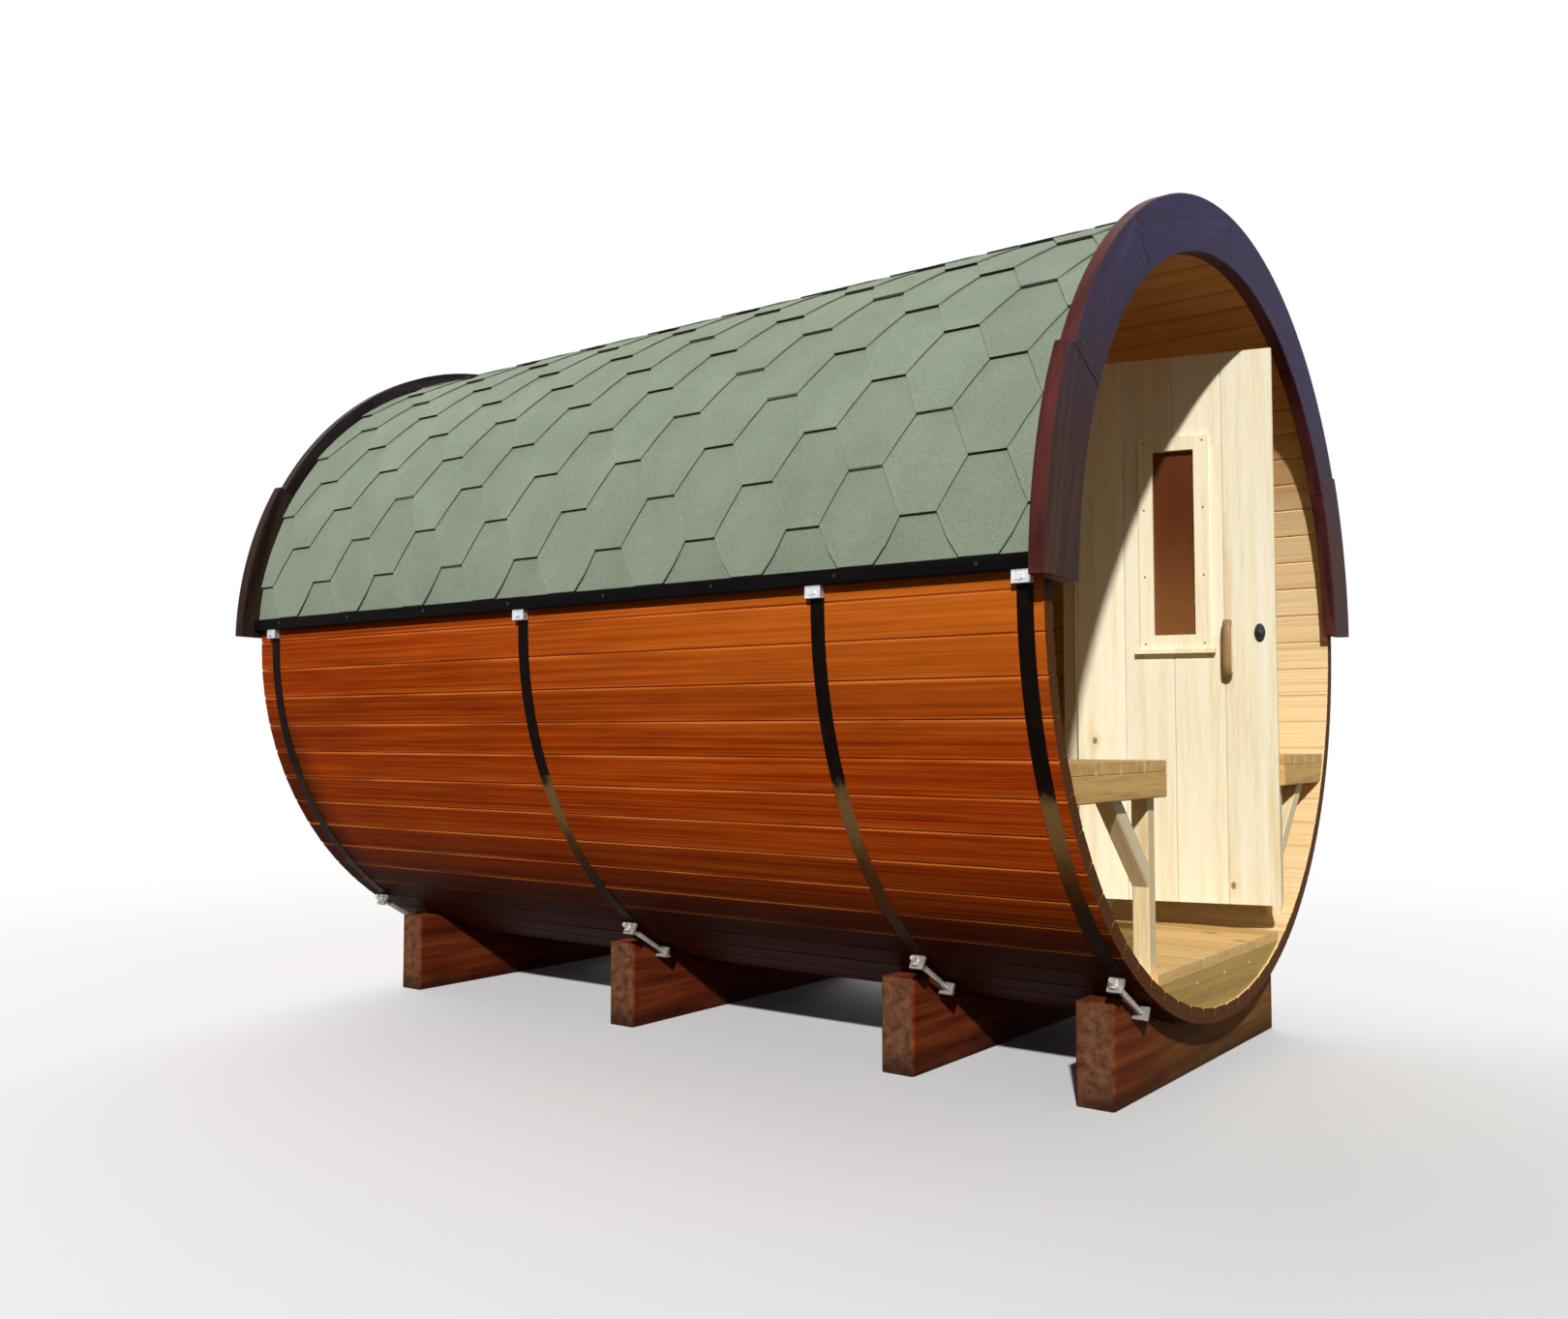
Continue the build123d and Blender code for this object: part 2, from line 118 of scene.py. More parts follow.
class Recipe:
    """A tree of nodes under way: each method adds one node and hands back its output."""

    def __init__(self, owner):
        owner.use_nodes = True
        self.owner = owner
        self.tree = owner.node_tree
        self.tree.nodes.clear()

    def add(self, kind, inputs=None, **settings):
        node = self.tree.nodes.new(kind)
        for key, value in settings.items():
            setattr(node, key, value)
        for key, value in (inputs or {}).items():
            if isinstance(value, bpy.types.NodeSocket):
                self.tree.links.new(value, node.inputs[key])
            else:
                node.inputs[key].default_value = value
        return node

    def place(self, kind="Object"):
        return self.add("ShaderNodeTexCoord").outputs[kind]

    def attribute(self, name):
        return self.add("ShaderNodeAttribute", attribute_name=name).outputs["Fac"]

    def math(self, operation, *values):
        return self.add("ShaderNodeMath", dict(enumerate(values)), operation=operation).outputs[0]

    def split(self, vector):
        return self.add("ShaderNodeSeparateXYZ", {0: vector}).outputs

    def join(self, x, y, z):
        return self.add("ShaderNodeCombineXYZ", {0: x, 1: y, 2: z}).outputs[0]

    def stretch(self, vector, scale):
        return self.add("ShaderNodeVectorMath", {0: vector, 1: scale}, operation="MULTIPLY").outputs[0]

    def moved(self, vector, shift):
        return self.add("ShaderNodeVectorMath", {0: vector, 1: shift}, operation="ADD").outputs[0]

    def noise(self, vector, scale=1.0, detail=3.0, roughness=0.55):
        inputs = {"Vector": vector, "Scale": scale, "Detail": detail, "Roughness": roughness}
        return self.add("ShaderNodeTexNoise", inputs).outputs["Fac"]

    def chance(self, value):
        return self.add("ShaderNodeTexWhiteNoise", {"W": value}, noise_dimensions="1D").outputs["Value"]

    def step(self, value, low, high, start=0.0, stop=1.0):
        inputs = {0: value, 1: low, 2: high, 3: start, 4: stop}
        return self.add("ShaderNodeMapRange", inputs, interpolation_type="SMOOTHSTEP").outputs[0]

    def ramp(self, factor, *colours, at=None):
        node = self.add("ShaderNodeValToRGB", {0: factor})
        elements = node.color_ramp.elements
        while len(elements) < len(colours):
            elements.new(1.0)
        for element, spot, colour in zip(elements, at or np.linspace(0.3, 0.7, len(colours)), colours):
            element.position, element.color = spot, paint(colour)
        return node.outputs["Color"]

    def mix(self, factor, first, second, how="MIX"):
        inputs = {0: factor, 6: paint(first), 7: paint(second)}
        return self.add("ShaderNodeMix", inputs, data_type="RGBA", blend_type=how).outputs[2]

    def bump(self, height, distance, strength=0.6):
        inputs = {"Height": height, "Distance": distance, "Strength": strength}
        return self.add("ShaderNodeBump", inputs).outputs["Normal"]


print("single steps:", [m for m in vars(Recipe) if not m.startswith("_")])


# %% Steps of several nodes
class Finish(Recipe):
    """The steps that recur in most finishes, each made of a few nodes."""

    def times(self, first, *others):
        """The product of all values."""
        for other in others:
            first = self.math("MULTIPLY", first, other)
        return first

    def blend(self, share, first, second):
        """share first + (1 - share) second."""
        return self.math("MULTIPLY_ADD", first, share, self.times(second, 1.0 - share))

    def length(self, a, b):
        """The root of a squared plus b squared."""
        return self.math("SQRT", self.math("ADD", self.times(a, a), self.times(b, b)))

    def grey(self, value):
        """One value three times, as a vector or a colour."""
        return self.join(value, value, value)

    def shaded(self, colour, shade):
        """The colour times a shade."""
        return self.mix(1.0, colour, self.grey(shade), "MULTIPLY")

    def about_axis(self):
        """x, y and the height above the barrel's axis."""
        x, y, z = self.split(self.place())
        return x, y, self.math("SUBTRACT", z, axis_height)

    def normal(self, axis):
        """One part of the direction that the face points in."""
        return self.split(self.add("ShaderNodeNewGeometry").outputs["Normal"])[axis]

    def facing(self, axis, low, high):
        """1 where the face points along an axis either way, 0 where it points across it."""
        return self.step(self.math("ABSOLUTE", self.normal(axis)), low, high)

    def seen(self):
        """1 for what the camera sees, directly, mirrored or through glass, and 0 for light on the object."""
        rays = self.add("ShaderNodeLightPath").outputs
        mirrored = self.math("MAXIMUM", rays["Is Glossy Ray"], rays["Is Transmission Ray"])
        return self.math("MAXIMUM", rays["Is Camera Ray"], mirrored)

    def surface(self, **inputs):
        """The shader that everything ends in, and the material with it."""
        shader = self.add("ShaderNodeBsdfPrincipled", {k.replace("_", " "): v for k, v in inputs.items()})
        self.add("ShaderNodeOutputMaterial", {0: shader.outputs[0]})
        return self.owner


def new_finish(name):
    """An empty finish, for a material of this name."""
    return Finish(bpy.data.materials.new(name))


def dress(material, *names):
    """Put a finish on packed solids, in the slot that each already has."""
    for name in names:
        mesh = nodes[name].data
        mesh.materials.clear()
        mesh.materials.append(material)


print("steps of several nodes:", [m for m in vars(Finish) if not m.startswith("_")])

# %% [markdown]
# ## Stained staves
# The barrel's boards are stained orange-brown outside and left bare inside. Seventy-two boards of one
# colour would look like a pipe, so the angle round the axis is cut into whole boards, and each board
# number draws its own shade and its own piece of grain. The grain is noise, stretched far along Y.
# The stain is thinnest on the eased edges, so those are paler here and there, partly from wear and partly
# as a painted highlight where the bevels catch the sun. Painted light pales the stain high up at the front,
# painted shade darkens it towards the rear and on the underside, and the low rear ends are darker. Inside,
# painted shade darkens and warms the wood under the roof.

# %% Stave finish
bare_radius, stained_radius = 1.086, 1.092


def stave_finish():
    """Board number = floor(angle / pitch); grain = noise over (angle, radius, y) with y squeezed."""
    f = new_finish("stained_staves")
    x, y, rise = f.about_axis()
    turn = f.times(f.math("ARCTAN2", rise, x), stave_count / (2 * pi))
    luck = f.chance(f.math("FLOOR", turn))
    radius = f.length(x, rise)
    place = f.join(turn, radius, f.math("MULTIPLY_ADD", luck, 40.0, y))
    streaks = f.noise(f.stretch(place, (11.0, 90.0, 0.9)), detail=5.0, roughness=0.6)
    fibres = f.noise(f.stretch(place, (46.0, 300.0, 4.0)))
    patches = f.noise(f.stretch(place, (1.4, 8.0, 2.2)), detail=2.0)
    grain = f.blend(0.35, fibres, streaks)
    stain = f.ramp(grain, (112, 28, 3), (163, 58, 9), (205, 96, 26), at=(0.3, 0.48, 0.7))
    # Painted light: the stain is paler high up towards the front.
    painted_front_light = f.times(f.step(rise, -0.45, 0.05, 0.0, 0.45), f.step(y, front, 1.2, 1.0, 0.0))
    stain = f.mix(painted_front_light, stain, (214, 122, 36))
    # Darker low down at the rear end.
    rear_low_dark = f.times(f.step(y, 1.25, 1.42), f.step(rise, -0.5, -0.15, 0.7, 0.0))
    shade = f.math("MULTIPLY_ADD", luck, 0.3, f.math("MULTIPLY_ADD", patches, 0.6, 0.52))
    # Painted shade: darker towards the rear, and far darker on the underside.
    shade = f.times(shade, f.step(y, -0.6, rear, 1.0, 0.8), f.step(rise, -0.87, -0.62, 0.12, 1.0),
                    f.math("SUBTRACT", 1.0, rear_low_dark))
    stain = f.shaded(stain, shade)
    across = f.math("ABSOLUTE", f.math("SUBTRACT", f.math("FRACT", turn), 0.5))
    # Paler eased edges: partly wear of the stain, partly a painted highlight where the bevels catch the sun;
    # little of it on the underside.
    worn_and_glint = f.times(f.step(across, 0.385, 0.475), f.step(patches, 0.34, 0.62, 0.12, 0.75),
                   f.step(rise, -0.95, -0.7, 0.15, 1.0))
    stain = f.mix(worn_and_glint, stain, (210, 114, 48))
    bare = f.ramp(grain, (216, 168, 108), (244, 212, 158), (252, 230, 186))
    bare = f.mix(f.step(luck, 0.0, 1.0, 0.0, 0.3), bare, (232, 190, 130))
    # Painted shade: the inside wood is darker and warmer high up under the roof.
    ceiling_painted_shade = f.ramp(grain, (192, 126, 64), (222, 160, 92), (238, 184, 120))
    bare = f.mix(f.step(rise, 0.3, 0.85), bare, ceiling_painted_shade)
    skin = f.mix(f.step(radius, bare_radius, stained_radius), bare, stain)
    rings = f.noise(f.stretch(place, (30.0, 160.0, 0.0)), detail=2.0)
    colour = f.mix(f.facing(1, 0.8, 0.95), skin, f.ramp(rings, (66, 36, 15), (114, 70, 34)))
    return f.surface(Base_Color=colour, Roughness=f.step(streaks, 0.3, 0.7, 0.42, 0.6),
                     Specular_IOR_Level=0.014, Normal=f.bump(grain, 0.0012))


sections = [name for name in nodes if name.startswith("staves_")]
stained_staves = stave_finish()
dress(stained_staves, *sections)
print("stave sections dressed:", len(sections))

# %% [markdown]
# ## Sawn and planed timber
# The other timbers differ in colour and in the way their grain runs, and in little else. One recipe takes
# the direction of the grain, three colours from dark to pale, and how many knots to show.
# Boards made below carry a map with the grain along its second direction, in metres, and a number for
# each board, so that neighbours are not cut from the same picture. Knots need that map. The rear wall is
# stained on its outer face only, so other colours can be given for the side that points along +Y.

# %% Timber finish
ALONG = {"x": (1.1, 26.0, 26.0), "y": (26.0, 1.1, 26.0), "z": (26.0, 26.0, 1.1), "map": (26.0, 1.1, 26.0)}
timber_tones = (0.32, 0.5, 0.68)


def timber_finish(name, along, *colours, knots=0.0, rough=0.6, shine=0.18, outside=None):
    """Colour = ramp(0.7 streaks + 0.3 fibres), times a shade drawn by board number; a knot is the middle of
    a stretched cell, ringed by darker grain."""
    f = new_finish(name)
    luck = f.chance(f.attribute("board"))
    place = f.moved(f.place("UV" if along == "map" else "Object"), f.stretch(f.grey(luck), (3.0, 17.0, 5.0)))
    stretched = f.stretch(place, ALONG[along])
    bend = f.noise(f.stretch(stretched, (0.12, 0.12, 0.12)), detail=2.0)
    curved = f.moved(stretched, f.stretch(f.grey(bend), (3.0, 3.0, 3.0)))
    streaks = f.noise(curved, detail=5.0, roughness=0.6)
    fibres = f.noise(f.stretch(stretched, (9.0, 9.0, 9.0)), detail=2.0)
    grain = f.blend(0.3, fibres, streaks)
    colour = f.ramp(grain, *colours, at=timber_tones)
    if outside:
        colour = f.mix(f.step(f.normal(1), 0.2, 0.5), colour, f.ramp(grain, *outside, at=timber_tones))
    colour = f.shaded(colour, f.math("MULTIPLY_ADD", luck, 0.14, 0.9))
    if knots:
        inputs = {"Vector": f.stretch(place, (6.5, 4.2, 6.5)), "Scale": 1.0, "Randomness": 1.0}
        cells = f.add("ShaderNodeTexVoronoi", inputs, voronoi_dimensions="2D").outputs
        chosen = f.step(f.split(cells["Color"])[0], 1.0 - knots, 1.0 - knots + 0.02)
        halo = f.times(f.step(cells["Distance"], 0.05, 0.2, 0.6, 0.0), chosen)
        knot = f.times(f.step(cells["Distance"], 0.03, 0.062, 1.0, 0.0), chosen, 0.85)
        colour = f.mix(knot, f.mix(halo, colour, colours[0]), (134, 92, 56))
    return f.surface(Base_Color=colour, Roughness=f.step(grain, 0.3, 0.7, rough - 0.08, rough + 0.08),
                     Specular_IOR_Level=shine, Normal=f.bump(grain, 0.0008))


pine_boards = timber_finish("pale_pine_boards", "map", (238, 214, 168), (252, 240, 206), (255, 249, 226),
                            knots=0.24)
pine_upright = timber_finish("pale_pine_upright", "z", (234, 208, 160), (250, 236, 200), (254, 247, 222))
floor_boards = timber_finish("floor_pine", "map", (204, 150, 84), (240, 197, 125), (250, 214, 154), knots=0.2)
front_board = timber_finish("floor_front_pine", "x", (150, 116, 52), (190, 152, 76), (212, 178, 104))
seat_wood = timber_finish("bench_wood", "y", (184, 140, 78), (222, 180, 112), (240, 206, 148))
apron_wood = timber_finish("bench_apron_wood", "map", (182, 140, 72), (225, 182, 104), (241, 204, 134))
# Painted sunlight: the posts and braces are paler than the aprons of the same benches.
post_wood_painted_sun = timber_finish("bench_post_wood", "map", (226, 194, 138), (250, 229, 181), (255, 242, 210))
rear_boards = timber_finish("rear_wall_boards", "map", (214, 182, 128), (240, 218, 174), (250, 236, 204),
                            outside=((112, 34, 5), (160, 66, 15), (200, 104, 36)))
handle_wood = timber_finish("handle_wood", "z", (112, 80, 50), (154, 116, 76), (186, 148, 102), rough=0.45)
edge_wood = timber_finish("dark_edge_wood", "y", (7, 6, 6), (12, 10, 10), (23, 20, 19), shine=0.03)
dress(pine_upright, "door_lining", "door_window_trim")
dress(front_board, "floor_front_board")
dress(seat_wood, "bench_left_seat", "bench_right_seat")
dress(edge_wood, "roof_edge_left", "roof_edge_right")
print("materials so far:", len(bpy.data.materials))

# %% [markdown]
# ## Cradles
# The cradles are thick blocks in the same reddish stain, with their grain across the barrel. Sawn ends
# drink more stain and weather paler, and the foot is darker towards the ground, so both are told apart by
# the way the face points and by the height above the ground. The front one's face is paler and more olive on
# the right.

# %% Cradle finish
def cradle_finish():
    """Colour = stain over noise squeezed along x; paler where the face points along x, darker near z = 0."""
    f = new_finish("cradle_wood")
    place, tones = f.place(), (0.32, 0.5, 0.7)
    x, y, z = f.split(place)
    grain = f.noise(f.stretch(place, (1.6, 28.0, 28.0)), detail=5.0, roughness=0.6)
    side = f.ramp(grain, (74, 27, 11), (112, 46, 20), (146, 72, 37), at=tones)
    # The front cradle's face is paler and more olive towards the right.
    olive_side = f.ramp(grain, (86, 56, 24), (124, 86, 40), (152, 110, 58), at=tones)
    olive_right_mask = f.times(f.step(y, -1.43, -1.37, 0.8, 0.0), f.step(x, -0.55, 0.1, 0.2, 1.0))
    rings = f.noise(f.stretch(place, (0.0, 34.0, 44.0)))
    sawn = f.ramp(rings, (76, 44, 28), (126, 84, 58))
    colour = f.mix(f.facing(0, 0.85, 0.98), f.mix(olive_right_mask, side, olive_side), sawn)
    # The foot darkens towards the ground.
    ragged_foot_height = f.math("MULTIPLY_ADD", f.noise(place, 9.0), 0.07, z)
    colour = f.mix(f.step(ragged_foot_height, 0.03, 0.12, 0.72, 0.0), colour, (22, 16, 13))
    return f.surface(Base_Color=colour, Roughness=0.72, Specular_IOR_Level=0.05, Normal=f.bump(grain, 0.0012))


cradle_wood = cradle_finish()
cradles = [name for name in nodes if name.startswith("cradle_")]
print("cradles:", cradles)

# %% [markdown]
# ## Arches
# Each end of the roof is closed by an arch of six dark boards. A sawn board's grain is straight, so it
# can't follow the curve: for each board the place is turned about the barrel's axis until the board lies
# level, and only then is the noise stretched. A stepped ramp looks up each board's middle angle.
# The stain is brown, and painted skylight turns it slate towards the top; the rear arch is darker and
# browner.
# Joints are kept as shares of the half turn from the right foot to the left one.

# %% Arch finish
arch_inner, arch_outer, arch_foot_height = 1.015, 1.168, 0.020
arch_end = asin(arch_foot_height / arch_outer) / pi
arch_joints = arch_end + (1 - 2 * arch_end) * np.array([0, 0.153, 0.306, 0.5, 0.694, 0.847, 1])
arch_count = len(arch_joints) - 1


def arch_finish():
    """Angle to board by a stepped ramp; grain = noise along the board's chord; edges redder than faces."""
    f = new_finish("dark_arch_wood")
    x, y, rise = f.about_axis()
    stepped = f.add("ShaderNodeValToRGB", {0: f.math("DIVIDE", f.math("ARCTAN2", rise, x), pi)})
    elements = stepped.color_ramp.elements
    stepped.color_ramp.interpolation = "CONSTANT"
    for i, (start, stop) in enumerate(zip(arch_joints[:-1], arch_joints[1:])):
        element = elements.new(start) if i else elements[0]
        middle = (start + stop) / 2
        element.position, element.color = start, (middle, middle, middle, 1.0)
    elements.remove(elements[-1])
    middle = f.split(stepped.outputs["Color"])[0]
    turn = f.times(f.math("SUBTRACT", middle, 0.5), pi)
    inputs = {"Vector": f.join(x, y, rise), "Angle": turn}
    level = f.add("ShaderNodeVectorRotate", inputs, rotation_type="Y_AXIS").outputs[0]
    level = f.moved(level, f.stretch(f.grey(middle), (7.0, 5.0, 3.0)))
    grain = f.noise(f.stretch(level, (1.4, 30.0, 30.0)), detail=5.0, roughness=0.62)
    tones = (0.3, 0.5, 0.72)
    # Painted skylight: slate blue towards the top of the arch.
    crown_painted_skylight = f.ramp(grain, (43, 38, 60), (64, 58, 91), (90, 83, 117), at=tones)
    flank = f.ramp(grain, (46, 29, 25), (72, 49, 43), (99, 73, 65), at=tones)
    # The rear arch is darker and browner.
    rear_arch_dark = f.ramp(grain, (24, 17, 13), (40, 29, 23), (62, 47, 39), at=tones)
    face = f.mix(f.step(rise, 0.25, 0.95), flank, crown_painted_skylight)
    edge = f.ramp(grain, (56, 24, 24), (104, 52, 48))
    colour = f.mix(f.step(y, -0.5, 0.5, 0.0, 0.85), f.mix(f.facing(1, 0.5, 0.9), edge, face), rear_arch_dark)
    return f.surface(Base_Color=colour, Roughness=f.step(grain, 0.3, 0.7, 0.46, 0.66),
                     Specular_IOR_Level=0.04, Normal=f.bump(grain, 0.001))


dark_arch_wood = arch_finish()
print("arch boards per end:", arch_count)

# %% [markdown]
# ## Steel and glass
# Black hoops, bright zinc on rods and clamps, black hinges and a bronze pane. Paint and zinc are nearly
# even, so their life is in the gloss: a little noise in the roughness breaks up the highlights.
# Below the barrel's middle the hoops carry a painted reflection of the sunlit ground, and their upturned end
# plates were never painted. The pane is palest low down, where a reflection of the sill is painted in.

# %% Steel and glass finishes
brightest_reflection_y = -0.67


def hinge_finish():
    """Colour = black paint with faint grey-brown grit by noise; roughness 0.36 to 0.56 by noise."""
    f = new_finish("hinge_steel")
    spots, fine = f.noise(f.place(), 30.0, 4.0), f.noise(f.place(), 260.0, 2.0)
    skin = f.mix(f.step(spots, 0.48, 0.78, 0.0, 0.5), (22, 21, 21), (50, 44, 40))
    return f.surface(Base_Color=skin, Roughness=f.step(spots, 0.3, 0.7, 0.36, 0.56),
                     Specular_IOR_Level=0.3, Normal=f.bump(fine, 0.0003, 0.3))


def hoop_finish():
    """Black paint; below a ragged height a stretch of painted ground reflection, longest near the end wall
    and none at the rear; bare zinc off the band."""
    f = new_finish("hoop_steel")
    x, y, rise = f.about_axis()
    spots, fine = f.noise(f.place(), 30.0, 4.0), f.noise(f.place(), 260.0, 2.0)
    ragged = f.math("MULTIPLY_ADD", spots, 0.12, rise)
    # Painted reflection of the sunlit ground on the hoops' lower half.
    painted_ground_reflection = f.mix(f.step(ragged, -0.62, -0.48), (94, 54, 18), (136, 100, 58))
    away = f.math("ABSOLUTE", f.math("SUBTRACT", y, brightest_reflection_y))
    reach = f.math("ADD", f.step(away, 0.1, 0.4, 0.25, 0.0), f.step(y, 0.6, 1.1, 0.0, -0.4))
    ground_reflection_mask = f.times(f.step(ragged, -0.43, -0.37, 1.0, 0.0),
                    f.step(f.math("ADD", ragged, reach), -0.74, -0.54, 0.06, 0.85))
    black = f.mix(f.step(spots, 0.48, 0.78, 0.0, 0.4), (16, 9, 7), (40, 29, 23))
    zinc = f.ramp(fine, (142, 135, 126), (186, 178, 168))
    bared = f.step(f.length(x, rise), barrel_radius + 0.006, barrel_radius + 0.009)
    colour = f.mix(bared, f.mix(ground_reflection_mask, black, painted_ground_reflection), zinc)
    return f.surface(Base_Color=colour, Metallic=f.times(bared, 0.4), Specular_IOR_Level=0.025,
                     Roughness=f.step(spots, 0.3, 0.7, 0.26, 0.46), Normal=f.bump(fine, 0.0003, 0.3))


def zinc_finish(name, dark, pale, metal):
    """Tone and roughness by one noise, as the crystals of a zinc coat give."""
    f = new_finish(name)
    crystals = f.noise(f.place(), 120.0)
    return f.surface(Base_Color=f.ramp(crystals, dark, pale), Metallic=metal,
                     Roughness=f.step(crystals, 0.3, 0.7, 0.3, 0.5))


def pane_finish():
    """Bronze glass: most light passes and is tinted, the rest is mirrored; noise smears the gloss."""
    f = new_finish("door_glass")
    smears = f.noise(f.stretch(f.place(), (6.0, 6.0, 2.0)))
    # Painted light: a reflection of the sill pales the tint low down.
    painted_sill_light = f.step(f.split(f.place())[2], 1.25, 1.62, 0.75, 0.0)
    tint = f.mix(painted_sill_light, f.ramp(smears, (124, 70, 39), (146, 86, 49)), (178, 122, 68))
    return f.surface(Base_Color=tint, Roughness=f.step(smears, 0.35, 0.75, 0.03, 0.14),
                     Transmission_Weight=0.55, IOR=1.45)


hoops = ["hoop_" + name for name in ("front", "porch", "middle", "rear")]
hinge_steel = hinge_finish()
zinc_steel = zinc_finish("zinc_steel", (206, 208, 211), (244, 245, 247), 0.7)
rod_steel = zinc_finish("rod_steel", (176, 169, 159), (222, 215, 205), 0.45)
dress(hoop_finish(), *hoops)
dress(hinge_steel, "hinge_pintles", "door_straps")
dress(zinc_steel, "hoop_lugs")
dress(pane_finish(), "door_glass")
print("materials with steel and glass:", len(bpy.data.materials))

# %% [markdown]
# ## Meshes from arrays
# A shape is a grid of points, worked out as whole arrays, and its faces follow from the grid alone.
# Two helpers are enough: one for a grid, and one for a solid that runs through a row of outlines.
# Parts of one piece are stacked into one mesh, with a number for each board and a map in metres. Closed
# parts have their faces turned outwards there, and an open sheet is left as it is.

# %% Grid, sweep and mesh helpers
def grid_faces(rows, columns, closed=False):
    """Corner numbers of the quads of a grid; a closed grid joins its last column to its first."""
    r, c = np.meshgrid(np.arange(rows - 1), np.arange(columns if closed else columns - 1), indexing="ij")
    here, after = r * columns + c, r * columns + (c + 1) % columns
    return np.stack([here, after, after + columns, here + columns], -1).reshape(-1, 4)


def swept(rows, number):
    """A closed solid through a row of outlines, with a flat face at each end. Its map is the distance round
    the outline by the distance along the rows."""
    rows = np.asarray(rows)
    count, corners = rows.shape[:2]
    ring = np.concatenate([rows, rows[:, :1]], axis=1)
    round_it = np.pad(np.cumsum(np.linalg.norm(np.diff(ring, axis=1), axis=2), axis=1), ((0, 0), (1, 0)))
    along_it = np.pad(np.cumsum(np.linalg.norm(np.diff(ring, axis=0), axis=2), axis=0), ((1, 0), (0, 0)))
    at = np.stack([round_it, along_it], -1)
    side_map = np.stack([at[:-1, :-1], at[:-1, 1:], at[1:, 1:], at[1:, :-1]], 2)
    cap_map = at[0, :-1] * (1, 0)
    last = (count - 1) * corners
    faces = grid_faces(count, corners, closed=True).tolist()
    faces += [list(range(corners))[::-1], list(range(last, last + corners))]
    maps = np.vstack([side_map.reshape(-1, 2), cap_map[::-1], cap_map])
    return rows.reshape(-1, 3), faces, maps, [number] * len(faces)


def turn_outwards(mesh):
    """Point every face of closed shells outwards."""
    shell = bmesh.new()
    shell.from_mesh(mesh)
    bmesh.ops.recalc_face_normals(shell, faces=shell.faces)
    shell.to_mesh(mesh)
    shell.free()


def mesh_piece(name, parts, material, body, replaced=(), crease=None, closed=True):
    """Stack the parts' points and faces into one piece that rides on a body, in place of the given solids.
    With a crease, in degrees, its faces are smooth and only edges bent further stay sharp."""
    points, faces, maps, numbers, offset = [], [], [], [], 0
    for part_points, part_faces, part_maps, part_numbers in parts:
        points.append(part_points)
        faces += [[offset + i for i in face] for face in part_faces]
        maps.append(part_maps)
        numbers += part_numbers
        offset += len(part_points)
    mesh = bpy.data.meshes.new(name)
    mesh.from_pydata(np.vstack(points).tolist(), [], faces)
    layer = mesh.uv_layers.new(name="metres")
    layer.data.foreach_set("uv", np.vstack(maps).astype(np.float32).ravel())
    mesh.attributes.new("board", "FLOAT", "FACE").data.foreach_set("value", np.array(numbers, np.float32))
    mesh.polygons.foreach_set("use_smooth", np.full(len(mesh.polygons), crease is not None))
    mesh.materials.append(material)
    if closed:
        turn_outwards(mesh)
    if crease is not None:
        mesh.set_sharp_from_angle(angle=radians(crease))
    piece = placed(name, mesh)
    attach(piece, body)
    if replaced:
        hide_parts(*replaced)
    print(name, len(parts), "parts,", len(mesh.polygons), "faces")
    return piece


print("a grid of 3 by 4 points has", len(grid_faces(3, 4)), "faces")

# %% [markdown]
# ## Tongues between the staves
# The staves stand a hair apart, and from inside the dark room daylight would show through a joint that the
# eye looks straight along. On a real barrel a tongue on one board sits in a groove of the next. Here a thin
# strip is let into both boards at every joint, halfway through their thickness and short of the sawn ends.

# %% Tongues
tongue_radius = (barrel_radius + inner_radius) / 2
tongue_half_depth, tongue_half_width, tongue_inset = 0.0015, 0.003, 0.004


def stave_tongue(number):
    """Corner(r, t) = (r cos a - t sin a, axis + r sin a + t cos a) at the joint's angle a, swept along y."""
    a = number * 2 * pi / stave_count
    r = tongue_radius + tongue_half_depth * np.array([-1, 1, 1, -1])
    t = tongue_half_width * np.array([-1, -1, 1, 1])
    x, z = r * cos(a) - t * sin(a), axis_height + r * sin(a) + t * cos(a)
    ends = front + tongue_inset, rear - tongue_inset
    return swept([np.column_stack([x, np.full(4, y), z]) for y in ends], number)


mesh_piece("stave_tongues", [stave_tongue(i) for i in range(stave_count)], stained_staves,
           "barrel")

# %% [markdown]
# ## Roof shingles
# The roof is laid with bitumen strips whose lower edge is cut into tabs with slanted sides. Each course
# is moved half a tab, so the tabs close up into hexagons with a short straight lip at the bottom.
# A bump map can't throw the shadow under those lips. So each course is a curved sheet of its own:
# its lower edge is a wave of straight pieces, it rests on two courses below and thins out to nothing
# under the two above, and a modifier gives it its thickness with a black cut edge.

# %% Shingle courses
tab, lip, lay = 0.333, 0.100, 0.1335
sheet, strip, curl, end_gap = 0.0032, 0.30, 0.0022, 0.001
hoop_to_roof, roof_thick, roof_to_sheet = 0.0008, 0.011, 0.0004
roof_base = barrel_radius + hoop_thick + hoop_to_roof + roof_thick + roof_to_sheet
eave, ridge, starter_depth = 0.0805, roof_base * pi / 2, 0.16
first_arc, first_phase, lip_jitter, least_run = 0.193 - lay, 0.150, 0.003, 0.002
course_count = int((ridge - first_arc) / lay) + 1


